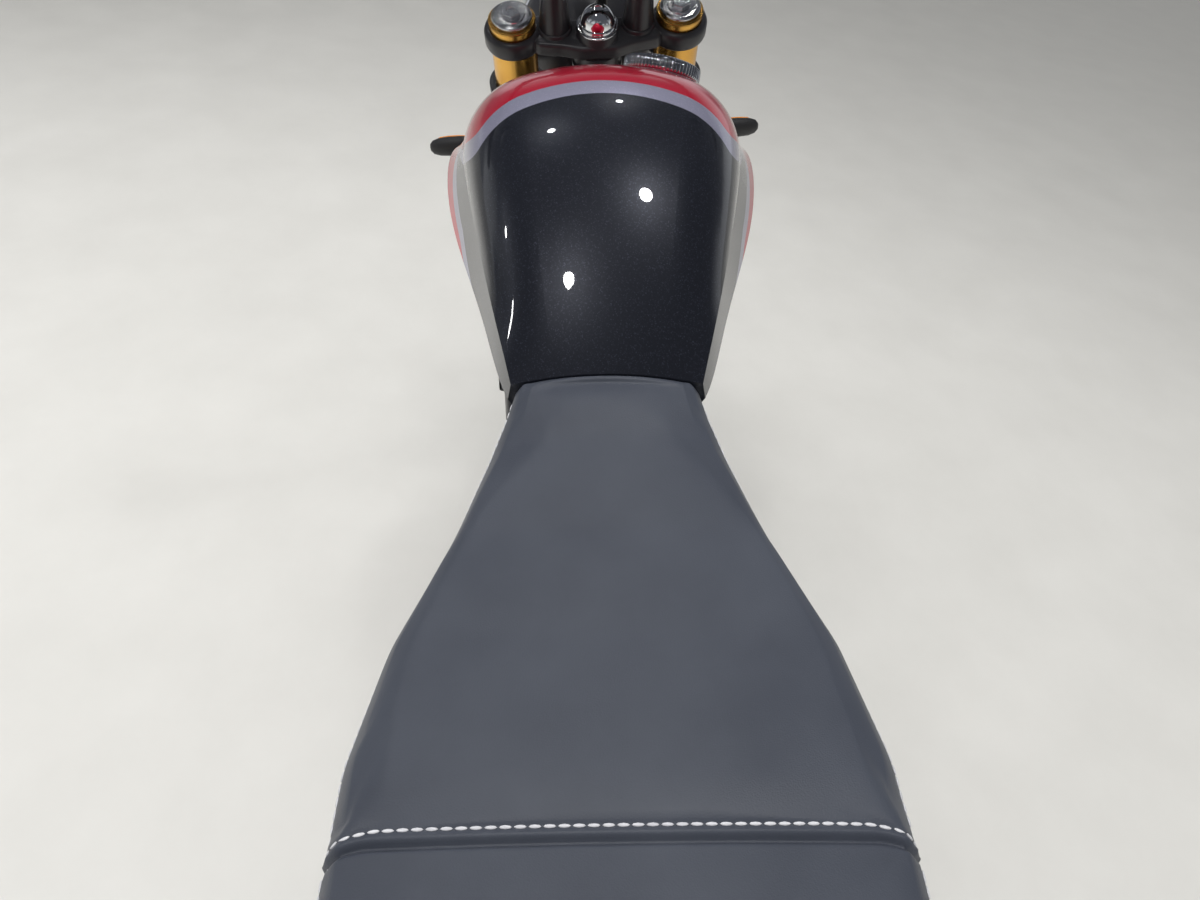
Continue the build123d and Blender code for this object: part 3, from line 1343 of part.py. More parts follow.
def chain_loop(offset):
    """The outline of the chain's path, offset outwards, in the side plane."""
    rear, front = (0, rear_tyre_radius), (gearbox_x, gearbox_z)
    rear_reach, front_reach = rear_pitch_radius + offset, front_pitch_radius + offset
    rear_top = wheel_point(rear, rear_reach, chain_angle + wrap)
    rear_low = wheel_point(rear, rear_reach, chain_angle - wrap)
    front_top = wheel_point(front, front_reach, chain_angle + wrap)
    front_low = wheel_point(front, front_reach, chain_angle - wrap)
    with BuildLine() as path:
        Line(rear_top, front_top)
        ThreePointArc(front_top, wheel_point(front, front_reach, chain_angle), front_low)
        Line(front_low, rear_low)
        ThreePointArc(rear_low, wheel_point(rear, rear_reach, chain_angle + math.pi), rear_top)
    make_face(path.edges())


def wheel_point(centre, radius, angle):
    """A point on a sprocket's pitch circle, in the side plane."""
    return Vector(centre[0] + radius * math.cos(angle), centre[1] + radius * math.sin(angle))


def chain_point(along):
    """The pin that lies this far along the chain, from the top of the rear sprocket forwards."""
    rear, front = (0, rear_tyre_radius), (gearbox_x, gearbox_z)
    if along < chain_run:
        start = wheel_point(rear, rear_pitch_radius, chain_angle + wrap)
        end = wheel_point(front, front_pitch_radius, chain_angle + wrap)
        return start + (end - start) * (along / chain_run)
    along -= chain_run
    if along < front_arc:
        return wheel_point(front, front_pitch_radius, chain_angle + wrap - along / front_pitch_radius)
    along -= front_arc
    if along < chain_run:
        start = wheel_point(front, front_pitch_radius, chain_angle - wrap)
        end = wheel_point(rear, rear_pitch_radius, chain_angle - wrap)
        return start + (end - start) * (along / chain_run)
    return wheel_point(rear, rear_pitch_radius, chain_angle - wrap - (along - chain_run) / rear_pitch_radius)


pins = [chain_point(number * link_length) for number in range(links)]


def link_places(first):
    """Where every second link's plates go, turned along the chain."""
    places = []
    for number in range(first, links, 2):
        start, end = pins[number], pins[(number + 1) % links]
        middle, run = (start + end) / 2, end - start
        places.append(Location((middle.X, middle.Y, 0), (0, 0, math.degrees(math.atan2(run.Y, run.X)))))
    return places


half_length = link_length / 2
with BuildSketch() as link_plate:
    with BuildLine():
        Polyline(
            (half_length + pin_reach, 0), (half_length - 1, chain_plate_half_height),
            (1 - half_length, chain_plate_half_height), (-half_length - pin_reach, 0),
            (1 - half_length, -chain_plate_half_height), (half_length - 1, -chain_plate_half_height),
            close=True,
        )
    make_face()

with BuildPart() as drive_chain:
    for left_face, thick, half_height in (
        (chain_y + roller_half + inner_plate, inner_plate, inner_half_height),
        (chain_y + roller_half, 2 * roller_half, roller_radius),
        (chain_y - roller_half, inner_plate, inner_half_height),
    ):
        with BuildSketch(side_plane(left_face)):
            chain_loop(half_height)
        extrude(amount=thick)
        with BuildSketch(side_plane(left_face)):
            chain_loop(-half_height)
        extrude(amount=thick, mode=Mode.SUBTRACT)
    plate_face = roller_half + inner_plate
    for left_face in (chain_y + plate_face + outer_plate, chain_y - plate_face):
        with BuildSketch(side_plane(left_face)):
            with Locations(*link_places(0)):
                add(link_plate.sketch)
        extrude(amount=outer_plate)
keep(drive_chain, "drive_chain")

# Guard over the chain's upper run, standing on the left arm
with BuildPart() as chain_guard:
    for left_face, thick, outline in (
        (111.0, 3.0, [(130, 364.6), (200, 382.2), (400, 413.4), (470, 419.8), (470, 458), (130, 450)]),
        (111.0, 29.0, [(130, 447), (470, 455), (470, 458), (130, 450)]),
    ):
        with BuildSketch(side_plane(left_face)):
            with BuildLine():
                Polyline(*outline, close=True)
            make_face()
        extrude(amount=thick)
keep(chain_guard, "chain_guard")

# Hugger over the front of the rear tyre, standing on the swingarm's brace
hugger_inner, hugger_half, hugger_start, hugger_sweep = rear_tyre_radius + 9, 79.0, 14.0, 88.0

with BuildPart() as rear_hugger:
    with BuildSketch(Plane.XY.rotated((0, -hugger_start - hugger_sweep, 0))):
        with BuildLine():
            Polyline(
                (hugger_inner - 22, hugger_half), (hugger_inner, hugger_half - 30),
                (hugger_inner, -hugger_half + 30), (hugger_inner - 22, -hugger_half),
                (hugger_inner - 22, -hugger_half - 3), (hugger_inner - 20, -hugger_half - 3),
                (hugger_inner + 3, -hugger_half + 29), (hugger_inner + 3, hugger_half - 29),
                (hugger_inner - 20, hugger_half + 3), (hugger_inner - 22, hugger_half + 3),
                close=True,
            )
        make_face()
    revolve(axis=Axis.Y, revolution_arc=hugger_sweep)
    tongue_high = brace_z - rear_tyre_radius + 2
    tongue_back = math.sqrt((hugger_inner + 1) ** 2 - tongue_high**2)
    tongue_front = brace_x - brace_length / 2 - seat_gap
    with BuildSketch(Plane.XY.offset(tongue_high - 18)):
        with Locations(((tongue_back + tongue_front) / 2, 0)):
            Rectangle(tongue_front - tongue_back, 60)
    extrude(amount=18)
keep(rear_hugger, "rear_hugger", REAR_WHEEL)

with BuildPart() as rear_caliper:
    caliper(
        (0, 0), 58, 101, 64, 84, -44, -96.0,
        rear_disc_y, rear_disc_y + disc_thickness, rear_disc_radius,
    )
    with BuildSketch(Plane.XZ.offset(96)):
        Circle(28)
        with PolarLocations(101, 1, start_angle=58):
            Circle(26)
        make_hull()
        Circle(rear_axle_radius + 6 + seat_gap, mode=Mode.SUBTRACT)
    extrude(amount=10)
keep(rear_caliper, "rear_caliper", REAR_WHEEL)

# Place everything on the stand: lean to the left, then stand the box on its own bottom centre
LEAN = Location((0, 0, 0), (-lean_on_stand, 0, 0))
box = Compound([piece.moved(LEAN) for piece in pieces]).bounding_box()
shift = Vector(-(box.min.X + box.max.X) / 2, -(box.min.Y + box.max.Y) / 2, -box.min.Z)
PLACE = Location(shift) * LEAN

os.makedirs("parts", exist_ok=True)
for piece in pieces:
    placed = piece.moved(PLACE)
    placed.label = piece.label
    export_step(placed, f"parts/{piece.label}.step")
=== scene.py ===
"""Looks of a roadster motorcycle with a flat cafe seat, leaning on its side stand.

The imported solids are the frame. Pieces are drawn in millimetres in the machine's own frames: MACHINE is the
upright machine, x forward from the rear axle, y left, z up; FORK has z up the steering axis; the two wheels
turn about their y. Every finished mesh lies in the row's frame, in metres.
"""

import json
from math import acos, asin, atan2, cos, hypot, pi, radians, sin, sqrt, tan

import bmesh
import bpy
import numpy as np
from mathutils import Matrix, Vector
from mathutils.bvhtree import BVHTree


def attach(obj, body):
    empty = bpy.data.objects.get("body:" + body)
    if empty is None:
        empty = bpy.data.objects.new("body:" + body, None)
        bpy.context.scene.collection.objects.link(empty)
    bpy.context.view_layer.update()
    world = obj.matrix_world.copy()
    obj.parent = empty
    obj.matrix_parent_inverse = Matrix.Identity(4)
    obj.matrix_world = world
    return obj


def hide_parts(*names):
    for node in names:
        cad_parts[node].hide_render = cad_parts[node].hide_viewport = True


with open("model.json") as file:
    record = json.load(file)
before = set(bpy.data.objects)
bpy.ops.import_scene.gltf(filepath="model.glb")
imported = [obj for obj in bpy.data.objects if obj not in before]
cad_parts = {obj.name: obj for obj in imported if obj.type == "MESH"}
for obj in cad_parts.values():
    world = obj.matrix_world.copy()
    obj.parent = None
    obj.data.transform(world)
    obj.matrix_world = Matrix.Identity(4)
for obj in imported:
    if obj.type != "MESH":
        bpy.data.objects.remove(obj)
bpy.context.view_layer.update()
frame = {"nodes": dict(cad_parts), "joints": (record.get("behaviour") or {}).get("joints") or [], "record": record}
mounts = {mount["name"]: mount for mount in frame["record"]["mounts"]}
joints = {joint["name"]: joint for joint in frame["joints"]}

# Sizes that the looks share with the solids
rake, trail, lean = 24.6, 118.0, 7.0
front_tyre_radius, rear_tyre_radius = 293.0, 306.0
front_offset = front_tyre_radius * sin(radians(rake)) - trail * cos(radians(rake))
fork_half, top_yoke_top, tube_above_yoke = 94.0, 676.0, 15.0
stem_boss, riser_half = 14.0, 47.0
bar_x, bar_z, bar_half_width, bar_pullback, bar_top_z = 10.0, 770.0, 392.0, 74.0, 836.0
MILLIMETRES = Matrix.Scale(0.001, 4)


def frame_of(origin, forward, left, up):
    """The matrix of a right-handed frame at origin, from millimetres to the row's metres."""
    turn = Matrix((forward, left, up)).transposed().to_4x4()
    return Matrix.Translation(origin) @ turn @ MILLIMETRES


rear_axle = Vector(mounts["rear_axle_bore"]["pos_m"])
front_axle = Vector(mounts["front_axle_bore"]["pos_m"])
machine_turn = Matrix.Rotation(-radians(lean), 3, "X")
forward, left, upward = machine_turn.transposed()
REAR_WHEEL = frame_of(rear_axle, forward, left, upward)
MACHINE = REAR_WHEEL @ Matrix.Translation((0, 0, -rear_tyre_radius))
steering_up = Vector(joints["steering"]["axis"]).normalized()
steering_left = Vector(mounts["front_axle_bore"]["axis"]).normalized()
FRONT_WHEEL = frame_of(front_axle, steering_left.cross(steering_up), steering_left, steering_up)
FORK = FRONT_WHEEL @ Matrix.Translation((-front_offset, 0, 0))


def linked(name, data):
    """A new object in the scene."""
    made = bpy.data.objects.new(name, data)
    bpy.context.scene.collection.objects.link(made)
    return made


def evaluated(thing):
    """A plain mesh of an object after its modifiers."""
    graph = bpy.context.evaluated_depsgraph_get()
    return bpy.data.meshes.new_from_object(thing.evaluated_get(graph), depsgraph=graph)


# Camera of the photograph, measured in the upright machine's frame
lens_millimetres, photo_width = 24.9, 36.0
eye = Vector((89.3, 16.5, 1199.1))
eye_yaw, eye_pitch, eye_roll = -1.382, 43.219, 0.568


def add_camera():
    """The camera at the photograph's place, moved with the leaning machine."""
    yaw, pitch, roll = (radians(angle) for angle in (eye_yaw, eye_pitch, eye_roll))
    look = Vector((cos(yaw) * cos(pitch), sin(yaw) * cos(pitch), -sin(pitch)))
    level = Vector((sin(yaw), -cos(yaw), 0))
    above = level.cross(look)
    right = level * cos(roll) + above * sin(roll)
    top = above * cos(roll) - level * sin(roll)
    camera = linked("photo_camera", bpy.data.cameras.new("photo_camera"))
    camera.data.sensor_width = photo_width
    camera.data.lens = lens_millimetres
    camera.data.clip_start = 0.01
    turn = machine_turn @ Matrix((right, top, -look)).transposed()
    camera.matrix_world = Matrix.Translation(MACHINE @ eye) @ turn.to_4x4()
    bpy.context.scene.camera = camera


add_camera()


# Small tools for materials


def fill(tree, made, sockets):
    """Fills a node's sockets with values or links."""
    for name, value in sockets.items():
        if isinstance(value, bpy.types.NodeSocket):
            tree.links.new(value, made.inputs[name])
        else:
            made.inputs[name].default_value = value
    return made


def shader_node(tree, kind, sockets=None, **settings):
    """Adds a node, sets its properties and fills its sockets."""
    made = tree.nodes.new(kind)
    for name, value in settings.items():
        setattr(made, name, value)
    return fill(tree, made, sockets or {})


def effect_group(name, inputs, outputs):
    """A shader node group with named sockets, and its two end nodes."""
    tree = bpy.data.node_groups.new(name, "ShaderNodeTree")
    for side, sockets in (("INPUT", inputs), ("OUTPUT", outputs)):
        for label, kind, *start in sockets:
            socket = tree.interface.new_socket(label, in_out=side, socket_type="NodeSocket" + kind)
            if start:
                socket.default_value = start[0]
    return tree, tree.nodes.new("NodeGroupInput"), tree.nodes.new("NodeGroupOutput")


def math_node(tree, operation, a, b=0.0, clamp=False):
    """A Math node's output from two values or sockets."""
    return shader_node(tree, "ShaderNodeMath", {0: a, 1: b}, operation=operation, use_clamp=clamp).outputs[0]


# The operations that the materials use most


def times(tree, a, b, clamp=False):
    return math_node(tree, "MULTIPLY", a, b, clamp)


def less(tree, a, b):
    return math_node(tree, "SUBTRACT", a, b)


def larger(tree, a, b):
    return math_node(tree, "MAXIMUM", a, b)


def added(tree, a, b, clamp=False):
    return math_node(tree, "ADD", a, b, clamp)


def ranged(tree, value, low, high, **settings):
    """0 where a value is at low, 1 where it is at high."""
    ends = {"Value": value, "From Min": low, "From Max": high}
    return shader_node(tree, "ShaderNodeMapRange", ends, **settings).outputs[0]


def cloudy(tree, scale, detail, rough=0.5):
    """Noise in the object's own coordinates."""
    place = shader_node(tree, "ShaderNodeTexCoord").outputs["Object"]
    return shader_node(
        tree, "ShaderNodeTexNoise", {"Vector": place, "Scale": scale, "Detail": detail, "Roughness": rough}
    ).outputs[0]


def mix_colour(tree, share, a, b):
    """The colour between a and b."""
    return shader_node(tree, "ShaderNodeMix", {0: share, 6: a, 7: b}, data_type="RGBA").outputs[2]


def colour(red, green, blue):
    return (red, green, blue, 1.0)


def build_tone_group():
    """Cloudy change of a colour and of its roughness over a surface."""
    tree, given, result = effect_group(
        "cloudy_tone",
        [("Colour", "Color"), ("Second Colour", "Color"), ("Scale", "Float", 12.0),
         ("Roughness", "Float", 0.5), ("Roughness Spread", "Float", 0.08)],
        [("Colour", "Color"), ("Roughness", "Float")],
    )
    first, second, scale, rough, spread = given.outputs[:5]
    share = ranged(tree, cloudy(tree, scale, 5.0, 0.6), 0.3, 0.7)
    tree.links.new(mix_colour(tree, share, first, second), result.inputs[0])
    change = times(tree, less(tree, share, 0.5), spread)
    tree.links.new(added(tree, rough, change, clamp=True), result.inputs[1])
    return tree


def build_edge_group():
    """Rounded edges for shading, and a broken mask where edges are worn."""
    tree, given, result = effect_group(
        "edge_wear",
        [("Radius", "Float", 0.0008), ("Amount", "Float", 0.3), ("Scale", "Float", 90.0)],
        [("Mask", "Float"), ("Normal", "Vector")],
    )
    radius, amount, scale = given.outputs[:3]
    rounded = shader_node(tree, "ShaderNodeBevel", {"Radius": radius}, samples=4).outputs[0]
    flat = shader_node(tree, "ShaderNodeNewGeometry").outputs["Normal"]
    agree = shader_node(tree, "ShaderNodeVectorMath", {0: rounded, 1: flat}, operation="DOT_PRODUCT")
    edge = ranged(tree, agree.outputs["Value"], 0.995, 0.9)
    bits = ranged(tree, cloudy(tree, scale, 6.0, 0.7), 0.48, 0.62)
    tree.links.new(times(tree, times(tree, edge, bits), amount, clamp=True), result.inputs[0])
    tree.links.new(rounded, result.inputs[1])
    return tree


def build_grain_group():
    """Fine grain for bump: noise and pebbled cells mixed by hand."""
    tree, given, result = effect_group(
        "fine_grain",
        [("Scale", "Float", 900.0), ("Pebbles", "Float", 0.0), ("Stretch", "Vector", (1.0, 1.0, 1.0))],
        [("Height", "Float")],
    )
    scale, pebbles, stretch = given.outputs[:3]
    place = shader_node(tree, "ShaderNodeTexCoord").outputs["Object"]
    spot = shader_node(tree, "ShaderNodeVectorMath", {0: place, 1: stretch}, operation="MULTIPLY").outputs[0]
    noise = shader_node(tree, "ShaderNodeTexNoise", {"Vector": spot, "Scale": scale, "Detail": 3.0})
    cells = shader_node(tree, "ShaderNodeTexVoronoi", {"Vector": spot, "Scale": scale}, feature="SMOOTH_F1")
    mixed = {0: pebbles, 2: noise.outputs[0], 3: cells.outputs["Distance"]}
    tree.links.new(shader_node(tree, "ShaderNodeMix", mixed).outputs[0], result.inputs[0])
    return tree


tone_group, edge_group, grain_group = build_tone_group(), build_edge_group(), build_grain_group()
materials = {}


def begin_material(name):
    """A new material, with its node tree and its surface shader."""
    materials[name] = material = bpy.data.materials.new(name)
    material.use_nodes = True
    return material.node_tree, material.node_tree.nodes["Principled BSDF"]


def finish(
    name, base, second, rough, spread=0.08, metal=0.0, tone_scale=14.0, grain=900.0, bump=0.0, pebbles=0.0,
    stretch=(1.0, 1.0, 1.0), wear=0.0, worn=(0.5, 0.5, 0.5), bevel=0.0008, **shader,
):
    """A material from the shared effects: cloudy tone, rounded and worn edges, and fine grain."""
    tree, surface = begin_material(name)
    tone = shader_node(tree, "ShaderNodeGroup", {
        "Colour": colour(*base), "Second Colour": colour(*second), "Scale": tone_scale,
        "Roughness": rough, "Roughness Spread": spread,
    }, node_tree=tone_group).outputs
    edges = shader_node(tree, "ShaderNodeGroup", {"Radius": bevel, "Amount": wear}, node_tree=edge_group)
    mask, normal = edges.outputs
    if bump:
        grains = {"Scale": grain, "Pebbles": pebbles, "Stretch": stretch}
        height = shader_node(tree, "ShaderNodeGroup", grains, node_tree=grain_group).outputs[0]
        relief = {"Strength": bump, "Distance": 0.0004, "Height": height, "Normal": normal}
        normal = shader_node(tree, "ShaderNodeBump", relief).outputs[0]
    fill(tree, surface, {
        "Base Color": mix_colour(tree, mask, tone[0], colour(*worn)), "Roughness": tone[1],
        "Metallic": mask if wear and metal < 0.5 else metal, "Normal": normal,
        **{socket.replace("_", " "): value for socket, value in shader.items()},
    })
    return materials[name]


GREY_METAL = (0.42, 0.42, 0.43)

finish("black_metal", (0.012, 0.012, 0.014), (0.02, 0.02, 0.023), 0.34, bump=0.12, grain=1500, wear=0.1,
       worn=GREY_METAL)
finish("frame_paint", (0.014, 0.014, 0.016), (0.02, 0.02, 0.022), 0.3, bump=0.08, grain=700, Coat_Weight=0.3,
       Coat_Roughness=0.2)
finish("gold_anodised", (0.83, 0.47, 0.11), (0.72, 0.38, 0.08), 0.24, metal=1.0, bump=0.05, grain=700,
       stretch=(1.0, 1.0, 0.1))
finish("bright_metal", (0.8, 0.81, 0.82), (0.7, 0.71, 0.73), 0.22, metal=1.0, bump=0.05, grain=1100)
finish("chrome", (0.86, 0.87, 0.88), (0.8, 0.81, 0.83), 0.05, spread=0.03, metal=1.0)
finish("steel", (0.5, 0.5, 0.51), (0.4, 0.4, 0.42), 0.35, metal=1.0, bump=0.1)
finish("disc_steel", (0.55, 0.55, 0.56), (0.48, 0.48, 0.49), 0.28, metal=1.0, bump=0.1, grain=500,
       stretch=(1.0, 0.2, 1.0))
finish("rim_black", (0.012, 0.012, 0.013), (0.018, 0.018, 0.02), 0.38, bump=0.12, grain=900, wear=0.05,
       worn=GREY_METAL)
finish("tyre_rubber", (0.016, 0.016, 0.016), (0.026, 0.025, 0.024), 0.78, bump=0.3, grain=700)
finish("rubber", (0.014, 0.014, 0.015), (0.022, 0.022, 0.022), 0.68, bump=0.25, grain=1200)
finish("cast_grey", (0.09, 0.09, 0.095), (0.13, 0.13, 0.135), 0.45, metal=0.7, bump=0.35, grain=1100)
finish("cast_bright", (0.32, 0.32, 0.33), (0.25, 0.25, 0.26), 0.4, metal=0.85, bump=0.3, grain=1100)
finish("plastic_black", (0.014, 0.014, 0.015), (0.02, 0.02, 0.021), 0.5, bump=0.3, grain=1400, pebbles=0.6)
finish("body_paint", (0.014, 0.014, 0.018), (0.02, 0.02, 0.026), 0.3, Coat_Weight=0.8, Coat_Roughness=0.06)
finish("seat_leather", (0.038, 0.043, 0.057), (0.048, 0.054, 0.07), 0.44, spread=0.06, bump=0.35, grain=1300,
       pebbles=0.75, bevel=0.0005)
finish("lens_clear", (0.75, 0.76, 0.77), (0.8, 0.81, 0.82), 0.08, spread=0.03, Transmission_Weight=0.85,
       IOR=1.49)
finish("lens_red", (0.35, 0.008, 0.008), (0.42, 0.015, 0.012), 0.12, spread=0.04, Transmission_Weight=0.3)
finish("exhaust_steel", (0.45, 0.43, 0.41), (0.33, 0.31, 0.3), 0.3, metal=1.0, bump=0.08)
finish("chain_steel", (0.3, 0.27, 0.2), (0.2, 0.18, 0.14), 0.35, metal=1.0, bump=0.15)
finish("stitch_thread", (0.56, 0.56, 0.58), (0.46, 0.46, 0.49), 0.6, bump=0.4, grain=2500)
finish("cap_blue", (0.012, 0.018, 0.045), (0.02, 0.028, 0.06), 0.16, metal=0.3, Coat_Weight=1.0,
       Coat_Roughness=0.03)
finish("mirror_silver", (0.9, 0.91, 0.92), (0.86, 0.87, 0.89), 0.025, spread=0.01, metal=1.0, bevel=0.0)
finish("dial_white", (0.8, 0.8, 0.78), (0.72, 0.72, 0.7), 0.5)
finish("spring_red", (0.45, 0.012, 0.014), (0.36, 0.01, 0.012), 0.32, Coat_Weight=0.5, Coat_Roughness=0.1)
finish("chrome_dark", (0.5, 0.51, 0.54), (0.58, 0.59, 0.62), 0.06, spread=0.04, metal=1.0)
finish("lens_amber", (0.75, 0.22, 0.01), (0.85, 0.3, 0.02), 0.12, spread=0.04, Transmission_Weight=0.25)

# The tank's colours, in metres on the upright machine: where the red and the stripe begin on the top, how far
# out each line turns forward again, and the line along the flanks with its two slopes
red_start, stripe_start, shoulder_y = 0.79, 0.7695, 0.1
flank_x, flank_z, slope_ahead, slope_behind, stripe_height = 0.737, 0.838, 0.257, 0.5, 0.011


def paint_tank():
    """Dark flake panel, grey stripe and red front, parted by lines on the upright machine's tank."""
    tree, surface = begin_material("tank_paint")
    place = shader_node(tree, "ShaderNodeTexCoord").outputs["Object"]
    back = (MACHINE @ Matrix.Scale(1000, 4)).inverted()
    turned_back = {"Vector": place, "Location": back.translation, "Rotation": back.to_euler()}
    upright = shader_node(tree, "ShaderNodeMapping", turned_back).outputs[0]
    along, across, height = shader_node(tree, "ShaderNodeSeparateXYZ", {0: upright}).outputs
    beside = math_node(tree, "ABSOLUTE", across)

    def over(value, limit, soft=0.0004):
        """1 where value is over limit."""
        return ranged(tree, less(tree, value, limit), -soft, soft)

    def bowed(start, bend, turn_out):
        """Where a colour begins on the top: a line that bends back beside and forward at the shoulder."""
        inner = times(tree, math_node(tree, "POWER", beside, 2.0), bend)
        past = larger(tree, less(tree, beside, shoulder_y), 0.0)
        outer = times(tree, math_node(tree, "POWER", past, 2.0), turn_out)
        return added(tree, less(tree, outer, inner), start)

    ahead = less(tree, along, flank_x)
    rise = times(tree, larger(tree, ahead, 0.0), slope_ahead)
    fall = times(tree, math_node(tree, "MINIMUM", ahead, 0.0), slope_behind)
    flank_line = added(tree, added(tree, rise, fall), flank_z)
    stripe_line = added(tree, flank_line, stripe_height)
    red = larger(tree, over(along, bowed(red_start, 1.7, 90.0)), over(flank_line, height))
    stripe = larger(tree, over(along, bowed(stripe_start, 1.8, 100.0)), over(stripe_line, height))

    flake = shader_node(tree, "ShaderNodeTexVoronoi", {"Vector": place, "Scale": 1300.0})
    sparkle = ranged(tree, flake.outputs["Color"], 0.7, 1.0)
    dark = mix_colour(tree, cloudy(tree, 9.0, 4.0), colour(0.011, 0.0125, 0.019), colour(0.015, 0.017, 0.025))
    dark = mix_colour(tree, sparkle, dark, colour(0.04, 0.044, 0.064))
    candy = mix_colour(tree, sparkle, colour(0.54, 0.001, 0.028), colour(0.66, 0.004, 0.045))
    silver = mix_colour(tree, sparkle, colour(0.3, 0.295, 0.4), colour(0.39, 0.385, 0.5))
    rough = shader_node(tree, "ShaderNodeMapRange", {"Value": sparkle, "To Min": 0.33, "To Max": 0.3})
    fill(tree, surface, {
        "Base Color": mix_colour(tree, red, mix_colour(tree, stripe, dark, silver), candy),
        "Roughness": rough.outputs[0], "Metallic": 0.55, "Coat Weight": 1.0, "Coat Roughness": 0.02,
    })


paint_tank()

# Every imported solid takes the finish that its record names
for solid in frame["nodes"].values():
    slot_name = next(material.name for material in solid.data.materials if material).split(".")[0]
    solid.data.materials.clear()
    solid.data.materials.append(materials[slot_name])


# Tools for the pieces: every outline is drawn in millimetres and placed by a matrix


def settle(name, mesh, finish_name, body, replaced=(), sharp=35.0):
    """Makes a mesh in the row's frame a finished piece that rides a body."""
    work = bmesh.new()
    work.from_mesh(mesh)
    bmesh.ops.remove_doubles(work, verts=work.verts, dist=2e-6)
    bmesh.ops.recalc_face_normals(work, faces=work.faces)
    work.to_mesh(mesh)
    work.free()
    mesh.polygons.foreach_set("use_smooth", [True] * len(mesh.polygons))
    mesh.set_sharp_from_angle(angle=radians(sharp))
    mesh.materials.clear()
    mesh.materials.append(materials[finish_name])
    piece = linked(name, mesh)
    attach(piece, body)
    if replaced:
        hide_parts(*replaced)
    return piece


def shape_mesh(name, shapes):
    """One mesh from several shapes, each with points, faces and the matrix that places it."""
    mesh = bpy.data.meshes.new(name)
    points, faces = [], []
    for shape_points, shape_faces, place in shapes:
        first = len(points)
        points += [place @ Vector(point) for point in shape_points]
        faces += [tuple(first + corner for corner in face) for face in shape_faces]
    mesh.from_pydata(points, [], faces)
    return mesh


def lathe(profile, steps=64, wave=None):
    """A profile of (radius, height) turned about z; wave gives each angle and point a radius of its own."""
    points, faces = [], []
    count = len(profile)
    for step in range(steps):
        angle = 2 * pi * step / steps
        here, after = step * count, (step + 1) % steps * count
        for number, (radius, height) in enumerate(profile):
            reach = wave(step, number, radius) if wave else radius
            points.append((reach * cos(angle), reach * sin(angle), height))
        for number in range(count - 1):
            faces.append((here + number, after + number, after + number + 1, here + number + 1))
    return points, faces


def at(place, origin, up=(0, 0, 1), side=(0, 1, 0)):
    """A matrix that puts a shape's z along up, at origin in the frame place."""
    z = Vector(up).normalized()
    y = (Vector(side) - z * z.dot(Vector(side))).normalized()
    turn = Matrix((y.cross(z), y, z)).transposed().to_4x4()
    return place @ Matrix.Translation(origin) @ turn


def surface(thing):
    """A search tree over an object's faces, in the row's frame."""
    mesh = thing.data
    faces = [tuple(face.vertices) for face in mesh.polygons]
    return BVHTree.FromPolygons([vertex.co for vertex in mesh.vertices], faces)


def touch(tree, place, start, way):
    """Where a ray meets a surface, and the surface's normal there, both in the frame place."""
    back = place.inverted()
    found, normal, _, _ = tree.ray_cast(place @ Vector(start), (place.to_3x3() @ Vector(way)).normalized())
    if found is None:
        return None, None
    return back @ found, (back.to_3x3() @ normal).normalized()


# Tools for Geometry Nodes


def geometry_group(name, inputs):
    """A Geometry Nodes group with a geometry input and output and further named inputs."""
    tree = bpy.data.node_groups.new(name, "GeometryNodeTree")
    tree.interface.new_socket("Geometry", in_out="OUTPUT", socket_type="NodeSocketGeometry")
    for label, kind, *start in [("Geometry", "Geometry"), *inputs, ("Material", "Material")]:
        socket = tree.interface.new_socket(label, in_out="INPUT", socket_type="NodeSocket" + kind)
        if start:
            socket.default_value = start[0]
    return tree, tree.nodes.new("NodeGroupInput"), tree.nodes.new("NodeGroupOutput")


def closing_nodes(tree, geometry, given, result):
    """Realizes the instances and gives them their material."""
    real = shader_node(tree, "GeometryNodeRealizeInstances", {"Geometry": geometry}).outputs[0]
    paint = {"Geometry": real, "Material": given.outputs["Material"]}
    tree.links.new(shader_node(tree, "GeometryNodeSetMaterial", paint).outputs[0], result.inputs[0])


def stand_on_points(tree, sockets, given, result):
    """Stands one shape on every point and ends the group."""
    placed = shader_node(tree, "GeometryNodeInstanceOnPoints", sockets)
    closing_nodes(tree, placed.outputs[0], given, result)


def held(tree, label, kind="FLOAT_VECTOR"):
    """The value that every point holds under a label."""
    return shader_node(tree, "GeometryNodeInputNamedAttribute", {"Name": label}, data_type=kind).outputs[0]


def grown(name, mesh, tree, values, finish_name, body, sharp=35.0):
    """Runs a Geometry Nodes group on a mesh and makes its result a plain piece."""
    holder = linked(name + "_source", mesh)
    modifier = holder.modifiers.new(name, "NODES")
    modifier.node_group = tree
    identifiers = {item.name: item.identifier for item in tree.interface.items_tree if item.in_out == "INPUT"}
    for label, value in {**values, "Material": materials[finish_name]}.items():
        modifier[identifiers[label]] = value
    result = evaluated(holder)
    bpy.data.objects.remove(holder)
    result.name = name
    return settle(name, result, finish_name, body, sharp=sharp)


def line_mesh(name, runs):
    """Open polylines of (point, normal) in the row's frame; the normals are kept as the attribute away."""
    mesh = bpy.data.meshes.new(name)
    points, edges, normals = [], [], []
    for run in runs:
        edges += [(end - 1, end) for end in range(len(points) + 1, len(points) + len(run))]
        points += [point for point, _ in run]
        normals += [value for _, normal in run for value in normal]
    mesh.from_pydata(points, edges, [])
    mesh.attributes.new("away", "FLOAT_VECTOR", "POINT").data.foreach_set("vector", normals)
    return mesh


def upright_turn(tree, tangent=None):
    """The rotation that stands z along the attribute away, and x along the tangent."""
    align = "FunctionNodeAlignRotationToVector"
    turn = shader_node(tree, align, {"Vector": held(tree, "away")}, axis="Z").outputs[0]
    if tangent is None:
        return turn
    both = {"Rotation": turn, "Vector": tangent}
    return shader_node(tree, align, both, axis="X", pivot_axis="Z").outputs[0]


